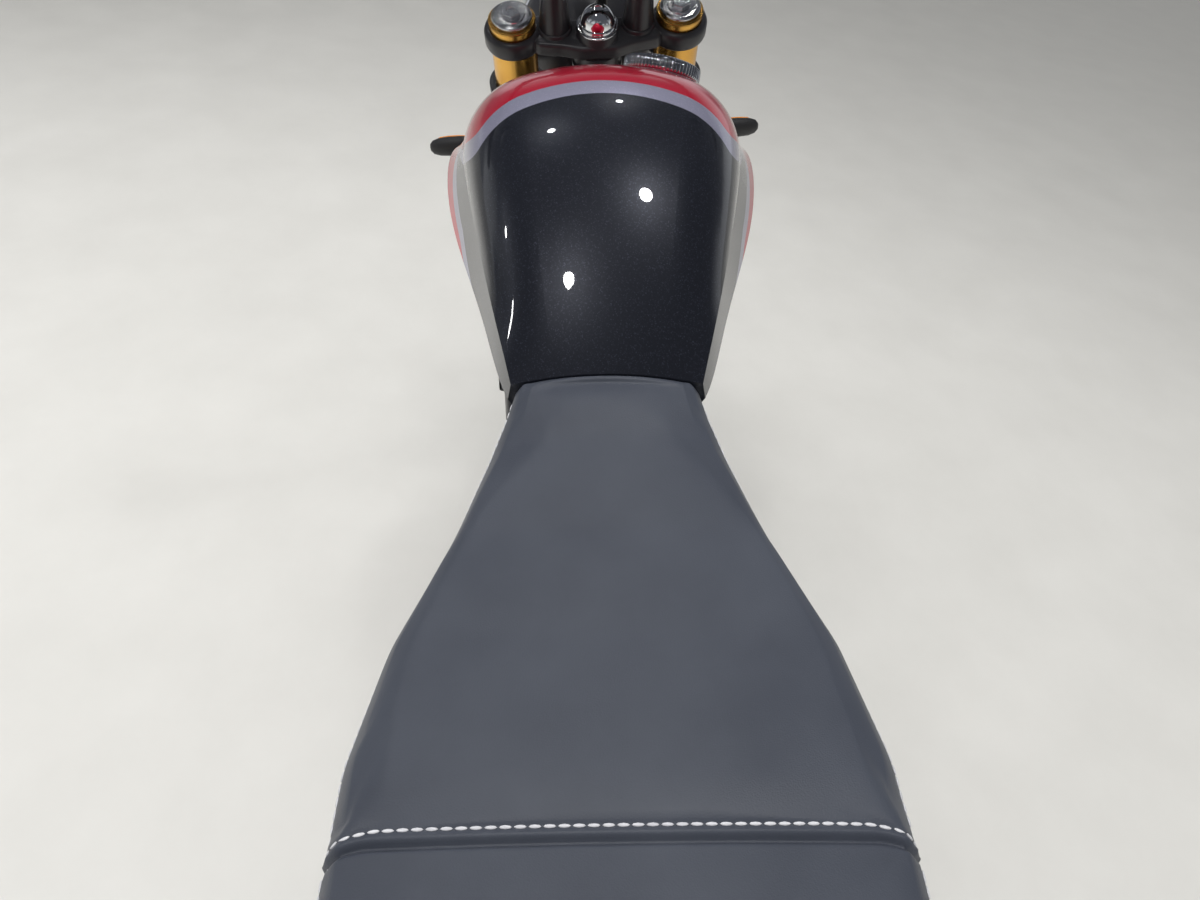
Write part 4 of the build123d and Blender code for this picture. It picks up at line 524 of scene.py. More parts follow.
def build_stitch_group():
    """Lens-shaped stitches at even spacing along lines."""
    tree, given, result = geometry_group("stitch_row", [
        ("Spacing", "Float", 0.0068), ("Length", "Float", 0.0062), ("Width", "Float", 0.0019),
        ("Thickness", "Float", 0.0012),
    ])
    lines, spacing, *sizes = given.outputs[:5]
    curve = {"Curve": shader_node(tree, "GeometryNodeMeshToCurve", {0: lines}).outputs[0], "Length": spacing}
    spaced = shader_node(tree, "GeometryNodeResampleCurve", curve, mode="LENGTH")
    tangent = shader_node(tree, "GeometryNodeInputTangent").outputs[0]
    lens = shader_node(tree, "GeometryNodeMeshUVSphere", {"Segments": 8, "Rings": 5, "Radius": 0.5})
    size = shader_node(tree, "ShaderNodeCombineXYZ", dict(enumerate(sizes)))
    stand_on_points(tree, {
        "Points": spaced.outputs[0], "Instance": lens.outputs[0], "Rotation": upright_turn(tree, tangent),
        "Scale": size.outputs[0],
    }, given, result)
    return tree


def build_screw_group():
    """Round screw heads with a round socket, standing on points."""
    tree, given, result = geometry_group("screw_heads", [("Sides", "Int", 16)])
    points, sides = given.outputs[:2]
    head = shader_node(tree, "GeometryNodeMeshCylinder", {"Vertices": sides, "Radius": 1.0, "Depth": 1.6})
    normal = shader_node(tree, "GeometryNodeInputNormal").outputs[0]
    upward_part = shader_node(tree, "ShaderNodeSeparateXYZ", {0: normal}).outputs[2]
    top = math_node(tree, "GREATER_THAN", upward_part, 0.9)

    def raised(mesh, chosen, height):
        """Extrudes the chosen faces."""
        sockets = {"Mesh": mesh, "Selection": chosen, "Offset Scale": height, "Individual": False}
        return shader_node(tree, "GeometryNodeExtrudeMesh", sockets).outputs

    def drawn_in(made, share):
        """Scales the top faces of an extrusion."""
        sockets = {"Geometry": made["Mesh"], "Selection": made["Top"], "Scale": share}
        return shader_node(tree, "GeometryNodeScaleElements", sockets).outputs[0]

    ring = raised(head.outputs["Mesh"], top, 0.12)
    rim = raised(drawn_in(ring, 0.88), ring["Top"], 0.0)
    socket = raised(drawn_in(rim, 0.62), rim["Top"], -0.7)
    stand_on_points(tree, {
        "Points": points, "Instance": socket["Mesh"], "Rotation": upright_turn(tree),
        "Scale": held(tree, "size", "FLOAT"),
    }, given, result)
    return tree


stitch_group, screw_group = build_stitch_group(), build_screw_group()


def spot_mesh(name, places, label, kind, values):
    """Loose points at (frame, point, way out, further value), with one more attribute than their way out."""
    runs = [[(place @ Vector(point), place.to_3x3() @ Vector(way) * 1000)] for place, point, way, _ in places]
    mesh = line_mesh(name, runs)
    attribute = mesh.attributes.new(label, kind, "POINT")
    attribute.data.foreach_set("value" if kind == "FLOAT" else "vector", values)
    return mesh


def add_screws(name, places, body, finish_name="steel", sides=16):
    """Screw heads at (frame, point, way out, radius), with their middle on the point."""
    mesh = spot_mesh(name, places, "size", "FLOAT", [radius / 1000 for *_, radius in places])
    return grown(name, mesh, screw_group, {"Sides": sides}, finish_name, body)


# Seat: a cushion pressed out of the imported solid, with a cross seam and stitched edges
seam_x, seam_bend = 245.8, 8.0
seat_front, seat_rear, seat_middle_z = 574.2, -74.5, 776.0
shoulder_start, shoulder_reach = 116.0, 26.0
end_rounding, cushion_slack = 16.0, 0.8
station_step, fine_step = 8.0, 1.6
seam_steps = range(-11, 8)
edge_drop = 22.0
largest_move, press_frames = 0.0045, 20
# Height, middle and reach of the forms beside the cross seam and at the edge line
seam_lip, seam_crease = (0.9, 1.2, 1.4), (-3.4, -2.4, 1.7)
seam_row, edge_dip = (-0.5, 4.4, 1.3), (-1.3, 0.0, 1.8)


def seam_at(y):
    """Where the cross seam runs: straight over the top, and drawn back over both shoulders."""
    return seam_x - seam_bend * np.clip((np.abs(y) - shoulder_start) / shoulder_reach, 0, 1.1) ** 2


def seat_stations():
    """Where the seat is cut across: evenly, and closely at the seam and both ends."""
    close = [seam_x + step * fine_step for step in seam_steps]
    even = np.arange(seat_rear + end_rounding, seat_front - 8, station_step)
    behind, ahead = seam_steps.start * fine_step - 3, seam_steps.stop * fine_step + 3
    ends = [end + side * end_rounding * (1 - cos(radians(turn)))
            for end, side in ((seat_rear, 1), (seat_front, -0.5)) for turn in (2, 25, 45, 65, 82)]
    return sorted([x for x in even if not behind < x - seam_x < ahead] + close + ends)


def ring_ways(half, low, high):
    """Points round a section's box, close together at its two upper shoulders."""
    across = [*np.linspace(-1, 0.84, 5), *np.linspace(0.86, 1.0, 7)]
    left = [(half, low + (high - low) * (share + 1) / 2) for share in across]
    left += [(half * share, high) for share in np.linspace(0.985, 0.88, 6)]
    top = [(half * share, high) for share in np.linspace(0.86, -0.86, 26)]
    right = [(-y, z) for y, z in reversed(left)]
    under = [(half * share, low) for share in np.linspace(-0.9, 0.9, 10)]
    return left + top + right + under


def seat_rings(tree):
    """Loops round the solid seat, drawn in by the slack that the pressed cover takes up."""
    rings = []
    for x in seat_stations():
        middle = Vector((min(max(x, seat_rear + 0.6), seat_front - 0.6), 0, seat_middle_z))
        half = touch(tree, MACHINE, middle, (0, 1, 0))[0].y
        high = touch(tree, MACHINE, middle, (0, 0, 1))[0].z - seat_middle_z
        low = touch(tree, MACHINE, middle, (0, 0, -1))[0].z - seat_middle_z
        gone = max(0.0, end_rounding - (x - seat_rear), 0.5 * end_rounding - 2 * (seat_front - x))
        inset = end_rounding - sqrt(max(0.0, end_rounding**2 - gone**2))
        ring = []
        for y, z in ring_ways(half, low, high):
            point, _ = touch(tree, MACHINE, middle, (0, y, z))
            slack = cushion_slack if z > low + 12 else 0.0
            shrink = 1 - (inset + slack) / hypot(point.y, point.z - seat_middle_z)
            ring.append(Vector((x, point.y * shrink, seat_middle_z + (point.z - seat_middle_z) * shrink)))
        rings.append(ring)
    return rings


def ring_faces(rings):
    """Quads between neighbouring loops, and a fan over each end."""
    count = len(rings[0])
    points = [point for ring in rings for point in ring]
    faces = []
    for first in range(0, (len(rings) - 1) * count, count):
        for place in range(count):
            a, b = first + place, first + (place + 1) % count
            faces.append((a, b, b + count, a + count))
    for first, ring in ((0, rings[0]), ((len(rings) - 1) * count, rings[-1])):
        middle = sum(ring, Vector()) / count
        inner = len(points)
        points += [middle.lerp(point, 0.55) for point in ring] + [middle]
        for place in range(count):
            after = (place + 1) % count
            faces.append((first + place, first + after, inner + after, inner + place))
            faces.append((inner + place, inner + after, inner + count))
    return points, faces


def edge_line(x, tops):
    """The height of the stitched line round the cushion's edge, from the section tops at each station."""
    return np.interp(x, *tops) - edge_drop


def places_of(mesh):
    """A mesh's points as one array."""
    return np.array([vertex.co for vertex in mesh.vertices])


def press_cushion(name, points, faces, pinned):
    """Blows the cover up from inside with cloth simulation and returns its mesh."""
    mesh = shape_mesh(name, [(points, faces, MACHINE)])
    holder = linked(name + "_cover", mesh)
    start = places_of(mesh)
    holder.vertex_groups.new(name="pinned").add(pinned, 1.0, "REPLACE")
    cloth = holder.modifiers.new("pressed", "CLOTH").settings
    cloth.vertex_group_mass = "pinned"
    cloth.quality = 6
    cloth.use_pressure = True
    cloth.uniform_pressure_force = 4.0
    cloth.effector_weights.gravity = 0.0
    cloth.tension_stiffness = cloth.compression_stiffness = 25.0
    for number in range(press_frames):
        bpy.context.scene.frame_set(number + 1)
    moved = places_of(evaluated(holder)) - start
    far = np.linalg.norm(moved, axis=1, keepdims=True)
    print("cushion moved by", float(far.max()))
    moved *= np.minimum(1.0, largest_move / np.maximum(far, 1e-9))
    mesh.vertices.foreach_set("co", (start + moved).ravel())
    holder.modifiers.clear()
    bpy.context.scene.frame_set(1)
    rounded = holder.modifiers.new("rounded", "SUBSURF")
    rounded.levels = rounded.render_levels = 1
    result = evaluated(holder)
    bpy.data.objects.remove(holder)
    return result


def swell(distance, form):
    """A smooth rise or dip across a line."""
    height, middle, reach = form
    return height * np.exp(-(((distance - middle) / reach) ** 2))


def seam_depth(along, beside, height, line):
    """How far the cover stands out or dips near the cross seam and the edge's double line."""
    ahead = along - seam_at(beside)
    seam = swell(ahead, seam_lip) + swell(ahead, seam_crease) + swell(ahead, seam_row)
    return np.where(height > seat_middle_z - edge_drop, seam, 0.0) + swell(height - line, edge_dip)


def add_seat():
    """The pressed cover with its seam, its edge line and its stitches."""
    rings = seat_rings(surface(frame["nodes"]["seat"]))
    tops = ([ring[0].x for ring in rings], [max(point.z for point in ring) for ring in rings])
    points, faces = ring_faces(rings)
    # The underside, the seam, the front end and the edge line are held still
    pinned = [
        number for number, point in enumerate(points)
        if point.z < seat_middle_z - 18 or abs(point.x - seam_at(point.y)) < 3 or point.x > seat_front - 4
        or abs(point.z - edge_line(point.x, tops)) < 2.2
    ]
    mesh = press_cushion("seat_cushion", points, faces, pinned)
    back = MACHINE.inverted()
    x, y, z = np.array([back @ vertex.co for vertex in mesh.vertices]).T
    normals = np.array([vertex.normal for vertex in mesh.vertices])
    depth = seam_depth(x, y, z, edge_line(x, tops)) / 1000
    mesh.vertices.foreach_set("co", (places_of(mesh) + normals * depth[:, None]).ravel())
    cushion = settle("seat_cushion", mesh, "seat_leather", "chassis", ("seat",), sharp=80)

    skin = surface(cushion)

    def laid(start, way):
        """A stitch's place on the cover, and the way that it faces."""
        point, normal = touch(skin, MACHINE, start, way)
        return point and (MACHINE @ (point + normal * 0.25), (MACHINE.to_3x3() @ normal).normalized())

    across = []
    for angle in np.linspace(-14, 194, 90):
        way = (0, 150 * cos(radians(angle)), 30 * sin(radians(angle)))
        point, _ = touch(skin, MACHINE, (seam_x, 0, seat_middle_z), way)
        start = (seam_at(point.y) + seam_row[1], 0, seat_middle_z)
        across.append(laid(start, (0, point.y, point.z - seat_middle_z)))
    runs = [across]
    for side in (1, -1):
        stations = [x for x in np.arange(seat_rear + 12, seat_front - 12, 6.0) if abs(x - seam_x) > 5]
        runs.append([laid((x, 0, edge_line(x, tops) + 3.4), (0, side, 0)) for x in stations])
    lines = line_mesh("seat_stitches", [[spot for spot in run if spot] for run in runs])
    stitches = grown("seat_stitches", lines, stitch_group, {}, "stitch_thread", "chassis", sharp=60)


add_seat()


# Tools that several pieces share


def build_bar_group():
    """Thin bars of one size standing on points, each turned by its own two attributes."""
    tree, given, result = geometry_group("bar_row", [("Size", "Vector", (0.002, 0.002, 0.002))])
    points, size = given.outputs[:2]
    bar = shader_node(tree, "GeometryNodeMeshCube", {"Size": size}).outputs["Mesh"]
    turn = upright_turn(tree, held(tree, "side"))
    stand_on_points(tree, {"Points": points, "Instance": bar, "Rotation": turn}, given, result)
    return tree


def build_coil_group():
    """A round wire wound into a coil about z."""
    tree, given, result = geometry_group("coil_spring", [
        ("Turns", "Float", 7.0), ("Radius", "Float", 0.027), ("Height", "Float", 0.15),
        ("Wire", "Float", 0.0055),
    ])
    turns, radius, height, thickness = given.outputs[1:5]
    spiral = shader_node(tree, "GeometryNodeCurveSpiral", {
        "Resolution": 26, "Rotations": turns, "Start Radius": radius, "End Radius": radius, "Height": height,
    })
    ring = shader_node(tree, "GeometryNodeCurvePrimitiveCircle", {"Resolution": 12, "Radius": thickness})
    wire = {"Curve": spiral.outputs[0], "Profile Curve": ring.outputs[0], "Fill Caps": True}
    closing_nodes(tree, shader_node(tree, "GeometryNodeCurveToMesh", wire).outputs[0], given, result)
    return tree


bar_group, coil_group = build_bar_group(), build_coil_group()


def add_bars(name, places, size, body, finish_name):
    """Bars of one size in millimetres at (frame, point, up, side), with their middle on the point."""
    sides = [value for place, _, _, side in places for value in place.to_3x3() @ Vector(side) * 1000]
    mesh = spot_mesh(name, places, "side", "FLOAT_VECTOR", sides)
    return grown(name, mesh, bar_group, {"Size": [length / 1000 for length in size]}, finish_name, body)


def six_sided(*numbers):
    """Makes these points of a profile six-sided when it is turned in 48 steps."""

    def reach(step, number, radius):
        turn = (360.0 * step / 48) % 60.0 - 30.0
        across = radius * cos(radians(30)) / cos(radians(turn))
        return across if number in numbers else radius

    return reach


def turned(name, parts, body, finish_name, replaced=(), sharp=35.0):
    """One piece from several shapes, each with the matrix that places it."""
    mesh = shape_mesh(name, [(*shape, place) for shape, place in parts])
    return settle(name, mesh, finish_name, body, replaced, sharp)


def prism(outline, low, high, rounding):
    """A closed solid over an outline, with all its edges rounded."""
    work = bmesh.new()
    base = work.faces.new([work.verts.new((x, y, low)) for x, y in outline])
    raised = bmesh.ops.extrude_face_region(work, geom=[base])["geom"]
    top = [part for part in raised if isinstance(part, bmesh.types.BMVert)]
    bmesh.ops.translate(work, verts=top, vec=(0, 0, high - low))
    bmesh.ops.recalc_face_normals(work, faces=work.faces)
    bmesh.ops.bevel(work, geom=work.edges[:], offset=rounding, segments=3, profile=0.5, affect="EDGES")
    bmesh.ops.triangulate(work, faces=[face for face in work.faces if len(face.verts) > 4])
    work.verts.index_update()
    points = [tuple(corner.co) for corner in work.verts]
    faces = [tuple(corner.index for corner in face.verts) for face in work.faces]
    work.free()
    return points, faces


def rounded_box(y, half_x, half_y, corner):
    """The outline of a box with cut corners, with its middle at y."""
    return [(a * (half_x - i), y + b * (half_y - j)) for a, b, i, j in (
        (1, -1, 0, corner), (1, 1, 0, corner), (1, 1, corner, 0), (-1, 1, corner, 0),
        (-1, 1, 0, corner), (-1, -1, 0, corner), (-1, -1, corner, 0), (1, -1, corner, 0),
    )]


def ring_of(count, radius, start=0.0):
    """Points evenly round a circle."""
    turns = [radians(start + 360 * number / count) for number in range(count)]
    return [(radius * cos(turn), radius * sin(turn)) for turn in turns]


def on_legs(shape, height, steps=64, wave=None):
    """A profile turned about both fork tubes, with its foot at a height."""
    made = lathe(shape, steps, wave)
    return [(made, at(FORK, (front_offset, side * fork_half, height))) for side in (1, -1)]


# Steering head, the fuel cap beside it, and what the handlebar and the fork carry
fork_top = top_yoke_top + tube_above_yoke


def add_fork_caps():
    """Turned caps with a rim, a groove and a six-sided adjuster, and the gold lips of the tubes."""
    profile = [
        (0, 0), (22.7, 0), (22.7, 4.4), (21.9, 5.4), (19.4, 6.6), (18.9, 5.7), (14.8, 5.4), (14.2, 6.4),
        (12.6, 6.6), (10.8, 6.6), (10.8, 10.9), (9.9, 11.8), (5.2, 11.8), (4.7, 10.2), (0, 10.2),
    ]
    caps = on_legs(profile, fork_top, 48, six_sided(9, 10, 11))
    turned("fork_caps_milled", caps, "steering", "bright_metal", ("fork_caps",), sharp=22)
    lips = [(26.15, -1.2), (26.4, 0.3), (25.6, 1.1), (23.4, 1.1), (22.9, 0.2), (22.9, -1.2), (26.15, -1.2)]
    turned("fork_tube_lips", on_legs(lips, fork_top), "steering", "gold_anodised")


def add_top_yoke():
    """A cast yoke with rounded edges: clamp rings, a web, bosses for risers and stem, and its bearing cup."""
    low, high = 661.0, 682.0
    clamp = [
        (26.2, low), (29.4, low), (31.4, low + 1.2), (32.4, low + 4), (32.4, high - 5), (31.2, high - 1.8),
        (28.6, high), (26.2, high), (26.2, low),
    ]
    half_web = [
        (-25, 0), (-24, 20), (-17, 40), (front_offset - 27, 68), (front_offset - 18, 76),
        (front_offset + 14, 74), (front_offset + 19, 66), (32, 48), (24, 30), (22, 0),
    ]
    web = half_web + [(x, -y) for x, y in reversed(half_web[1:-1])]
    boss = [(0, high - 8), (19.4, high - 8), (19.2, high + 1.2), (18.4, high + 2), (0, high + 2)]
    stem = [(14.3, high - 8), (24.6, high - 8), (23.6, high + 6.6), (22.4, high + 8), (14.3, high + 8),
            (14.3, high - 8)]
    cup = [(14.3, 643.6), (26.2, 643.6), (27.2, 645), (27.2, low + 2), (14.3, low + 2), (14.3, 643.6)]
    parts = on_legs(clamp, 0, 72)
    parts += [(lathe(boss, 48), at(FORK, (bar_x, side * riser_half, 0))) for side in (1, -1)]
    parts += [(lathe(stem, 64), FORK), (lathe(cup, 56), FORK), (prism(web, low + 1, high - 2.4, 4.2), FORK)]
    turned("top_yoke_cast", parts, "steering", "black_metal", ("top_yoke",), sharp=50)


def lamp_pods(name, places, body, replaced, extra=()):
    """Slim indicator pods along z of each place, with amber lenses on the side that each place gives."""
    pod = [(0, 0), (5.6, 0.4), (7.8, 3), (9.4, 10), (10.2, 22), (10.3, 36), (9.4, 49), (7.2, 57), (3.8, 60.6),
           (0, 61.4)]
    lens = [(0, 9), (6.0, 10), (8.2, 14), (9.0, 24), (9.1, 36), (8.2, 47), (5.6, 54), (0, 57)]
    pods = [(lathe(pod, 40), place @ Matrix.Diagonal((1, 1.3, 1, 1))) for place, _ in places]
    lenses = []
    for place, front in places:
        ahead = Matrix.Translation((front * 4.4, 0, 0)) @ Matrix.Diagonal((0.96, 1.2, 1, 1))
        lenses.append((lathe(lens, 40), place @ ahead))
    turned(name, [*pods, *extra], body, "plastic_black", (replaced,), sharp=50)
    turned(name + "_lenses", lenses, body, "lens_amber", sharp=60)


def sideways(place, x, y, z, side):
    """A matrix that puts a shape's z outwards on one side of the machine."""
    return at(place, (x, side * y, z), (0, side, 0), (0, 0, 1))


def add_indicators():
    """Front pods on their fork clamps and rear pods on the plate hanger's bar."""
    height = 514.0
    clamp = [(26.2, -8), (30.2, -8), (31.1, -6.8), (31.1, 6.8), (30.2, 8), (26.2, 8), (26.2, -8)]
    stalk = [(0, 0), (8.2, 0), (7.6, 3), (5.6, 5), (5.2, 30), (6.4, 33), (0, 34)]
    extra, pods = [], []
    for side, clamped in zip((1, -1), on_legs(clamp, height, 56)):
        extra += [clamped, (lathe(stalk, 28), sideways(FORK, front_offset - 9, fork_half + 29, height, side))]
        pods.append((sideways(FORK, front_offset - 10, 153.5, height, side), -side))
    lamp_pods("front_indicator_pods", pods, "steering", "front_indicators", extra)
    rear = [(sideways(MACHINE, -118, 75.3, 652, side), side) for side in (1, -1)]
    lamp_pods("rear_indicator_pods", rear, "chassis", "rear_indicators")


def add_stem_nut():
    """A polished half ball on a flanged base, and its washer."""
    base, height, low = 18.5, 17.0, 5.0
    radius = (base**2 + height**2) / (2 * height)
    start = asin((radius - height) / radius)
    dome = [(radius * cos(turn), low + height - radius + radius * sin(turn))
            for turn in np.linspace(start, pi / 2, 12)]
    dome[-1] = (0, low + height)
    profile = [(0, 0), (20.4, 0), (20.9, 0.8), (20.9, 3.2), (20.2, 4.4), (18.9, 4.6), *dome]
    place = at(FORK, (0, 0, top_yoke_top + stem_boss))
    turned("stem_nut_ball", [(lathe(profile, 72), place)], "steering", "chrome", ("stem_nut",), sharp=30)
    washer = [(14.4, -1.6), (23.4, -1.6), (23.4, -0.2), (22.6, 0.4), (20.8, 0.5), (20.8, -0.4), (14.4, -0.4),
              (14.4, -1.6)]
    turned("stem_washer", [(lathe(washer, 64), place)], "steering", "bright_metal")


cap_place, cap_up, cap_scale = (896.5, -56, 919.5), (0.47, -0.2, 0.86), 1.03


def add_fuel_cap():
    """A chrome ring with a knurled side, a black ring inside it as painted shade in the knurl's valleys, and a
    dark lid with a key flap.
    """
    ridges = [
        (0, -15), (31, -15), (32.5, 1.4), (34.2, 2.0), (34.7, 3.4), (34.7, 10.4), (34.1, 11.8), (32.0, 13.4),
        (29.6, 13.8), (27.9, 12.8), (27.4, 11.2), (0, 11.2),
    ]

    def knurl(step, number, radius):
        return radius + (0.5, 0.2, -0.9, 0.2)[step % 4] if number in (4, 5, 6) else radius

    place = at(MACHINE, cap_place, cap_up) @ Matrix.Scale(cap_scale, 4)
    ring = [(lathe(ridges, 256, knurl), place)]
    turned("fuel_cap_ring", ring, "chassis", "chrome_dark", ("fuel_cap",), sharp=28)
    # Painted shade: this black ring stands just above the knurl's deepest valleys, so the valleys show black
    grooves = [(lathe([(31, 2.4), (34.15, 2.4), (34.15, 10.6), (31, 10.6), (31, 2.4)], 128), place)]
    turned("fuel_cap_valley_shade", grooves, "chassis", "plastic_black")
    lid = [(0, 10.6), (27.4, 10.6), (27.4, 12.4), (26.0, 13.8), (21, 15.2), (12, 16.0), (0, 16.3)]
    flap = [(0, 14.6), (7.6, 14.6), (7.8, 16.6), (6.9, 17.4), (0, 17.7)]
    shapes = [(lathe(lid, 96), place), (lathe(flap, 40), place @ Matrix.Translation((8, 0, 0)))]
    turned("fuel_cap_lid", shapes, "chassis", "cap_blue")


bar_end = Vector((bar_x - bar_pullback, bar_half_width, bar_top_z + 8))
bar_out = (bar_end - Vector((bar_x - 10, 180, bar_top_z))).normalized()


def on_bar(forward, down, inboard, side=1):
    """A point beside a handlebar end, measured along the grip."""
    x = Vector((bar_out.y, -bar_out.x, 0)).normalized()
    point = bar_end + x * forward + bar_out.cross(x) * down - bar_out * inboard
    return Vector((point.x, side * point.y, point.z))


def add_grips():
    """Ribbed rubber grips with a flange inside and a rounded lip outside."""
    profile = [(11.2, -121.8), (18.8, -121.8), (19.4, -120), (19.4, -117.5), (18.4, -116.4), (15.8, -114)]
    for height in np.arange(-110, -8, 4.2):
        profile += [(15.2, height), (16.4, height + 0.7), (16.4, height + 2.6), (15.2, height + 3.3)]
    profile += [(15.8, -4), (16.4, -2.6), (16.2, -0.8), (14.8, -0.1), (11.2, -0.1), (11.2, -121.8)]
    parts = []
    for side in (1, -1):
        mirrored = Vector((1, side, 1))
        parts.append((lathe(profile, 40), at(FORK, bar_end * mirrored, bar_out * mirrored, (0, 0, 1))))
    turned("grips_ribbed", parts, "steering", "rubber", ("grips",), sharp=50)


def add_mirror_glass():
    """Bright glass in a dark rim on each mirror."""
    tilt = (-cos(radians(rake)), 0, sin(radians(rake)))
    places = [at(FORK, on_bar(20, -128, 96, side), tilt) for side in (1, -1)]
    glass = [(0, -0.6), (50.5, -0.6), (50.5, 0.5), (49.6, 0.9), (0, 1.3)]
    rim = [(50.6, -1.2), (54.1, -1.2), (54.3, 0.4), (53.2, 1.9), (51.2, 1.7), (50.6, 0.6), (50.6, -1.2)]
    both = [(lathe(glass, 72), place) for place in places]
    turned("mirror_glass", both, "steering", "mirror_silver")
    turned("mirror_rims", [(lathe(rim, 72), place) for place in places], "steering", "black_metal")


def add_dial():
    """A dark dial with plain ticks and a pointer under a bright bezel."""
    tilt = radians(35)
    place = at(FORK, (62, -8, 752), (-sin(tilt), 0, cos(tilt)))
    bezel = [(43.1, -11.5), (48.3, -11.5), (48.6, -1.0), (47.2, 1.4), (44.4, 1.5), (43.1, -0.4),
             (43.1, -11.5)]
    turned("dial_bezel", [(lathe(bezel, 80), place)], "steering", "chrome")
    face = [(0, -2.3), (42.9, -2.3), (42.9, -1.2), (24.5, -1.3), (24.0, -1.7), (0, -1.7)]
    hub = [(0, -1.8), (5.4, -1.8), (5.2, 0.6), (4.2, 1.2), (0, 1.3)]
    turned("dial_face", [(lathe(face, 72), place), (lathe(hub, 32), place)], "steering", "plastic_black")
    ticks = []
    for number, (x, y) in enumerate(ring_of(48, 1.0)):
        if 42 > number > 5:
            reach = 37.5 if number % 4 else 36.0
            ticks.append((place, (-x * reach, y * reach, -0.95), (0, 0, 1), (x, -y, 0)))
    add_bars("dial_ticks", ticks, (5.2, 0.9, 0.5), "steering", "dial_white")
    pointer = [(place, (-17, 12, 0.4), (0, 0, 1), (-17, 12, 0))]
    add_bars("dial_pointer", pointer, (38, 1.3, 0.6), "steering", "lens_red")


def add_headlight():
    """A bright reflector with its bulb behind the lens, and a rim round it."""
    down = radians(rake)
    place = at(FORK, (62, 0, 585), (cos(down), 0, -sin(down)))
    # A bowl that opens from the bulb to the lens
    bowl = [(18 + 61.5 * sqrt(t), 14 + 78 * t) for t in np.linspace(0, 1, 14)]
    outside = [(radius + 1.4, height - 1.2) for radius, height in reversed(bowl)]
    reflector = [(lathe(bowl + outside + bowl[:1], 72), place)]
    turned("headlight_reflector", reflector, "steering", "mirror_silver")
    bulb = [(0, 12), (9, 12), (9, 30), (7, 34), (7, 52), (4.6, 57), (0, 59)]
    rim = [(85.2, 92), (87.6, 93), (88.8, 104), (87.6, 109.4), (84.0, 110.6), (81.2, 109.0), (80.9, 106.4),
           (84.8, 104), (85.2, 92)]
    turned("headlight_bulb", [(lathe(bulb, 32), place)], "steering", "bright_metal")
    turned("headlight_rim", [(lathe(rim, 96), place)], "steering", "chrome")


caliper_turn, caliper_radius = radians(140), 134


def add_steering_bolts():
    """Clamp bolts on the risers, bolts of the caliper, the axle's nuts, and the reservoir's lid."""
    bolts = [(FORK, (bar_x + fore, side * riser_half + across, bar_z + 22.6), (0, 0, 1), 3.9)
             for side in (1, -1) for fore in (-13, 13) for across in (-10, 10)]
    bolts += [(FORK, (front_offset - 71.9, 84, height), (-1, 0, 0), 5.4) for height in (75, 125)]
    out = Vector((cos(caliper_turn), 0, sin(caliper_turn)))
    along = Vector((-out.z, 0, out.x))
    for radial in (-27, 27):
        for tangential in (40, -40):
            spot = Vector((front_offset, 92.4, 0)) + out * (caliper_radius + radial) + along * tangential
            bolts.append((FORK, spot, (0, 1, 0), 4.2))
    bolts += [(FORK, (front_offset, side * (fork_half + 21.4), 38), (0, side, 0), 4.6) for side in (1, -1)]
    add_screws("steering_bolts", bolts, "steering")
    nut = [(10.2, 0), (15.5, 0), (16.0, 0.8), (16.0, 5.4), (14.8, 6.6), (8.0, 6.6), (7.4, 4.0), (10.2, 3.0),
           (10.2, 0)]
    flats = lathe(nut, 48, six_sided(1, 2, 3, 4))
    nuts = [(flats, sideways(FRONT_WHEEL, 0, 115.4, 0, side)) for side in (1, -1)]
    turned("front_axle_nuts", nuts, "steering", "steel", sharp=25)
    cup = on_bar(33, -6, 180, -1)
    lid = [(0, 29.4), (17.2, 29.4), (17.4, 31.6), (16.0, 32.6), (11, 32.8), (10.4, 32.2), (0, 32.2)]
    turned("reservoir_lid", [(lathe(lid, 48), FORK @ Matrix.Translation(cup))], "steering", "black_metal")
    screws = [(FORK, (cup.x + x, cup.y + y, cup.z + 32.6), (0, 0, 1), 2.2) for x, y in ring_of(3, 13.2)]
    add_screws("reservoir_screws", screws, "steering", sides=10)


# Wheels: where a tyre sits on its rim, and how deep its grooves are
bead_radius, lip_radius = 216.6, 231.4
diagonal_groove, round_groove = 4.2, 4.6


def tyre_profile(radius, half_width, crown, rim_half):
    """The tyre's outline from one bead over the crown to the other, with extra points at the grooves."""
    edge_y, lip_y = half_width - 1, rim_half + 6.0
    edge_r = radius - crown + sqrt(crown**2 - edge_y**2)
    across = edge_y * np.sin(np.linspace(-1.3, 1.3, 33)) / sin(1.3)
    tread = [(sqrt(crown**2 - y**2) + radius - crown, y) for y in across]
    left = []
    for t in np.linspace(0.08, 1.0, 9):
        bulge = sin(pi * t) * 3.0
        left.append((edge_r + (lip_radius - edge_r) * t, edge_y + (lip_y - edge_y) * t**1.6 + bulge))
    left += [(lip_radius, lip_y - 5.5), (bead_radius, lip_y - 6.4)]
    right = [(r, -y) for r, y in reversed(left)]
    return right + tread + left, len(right), len(tread)


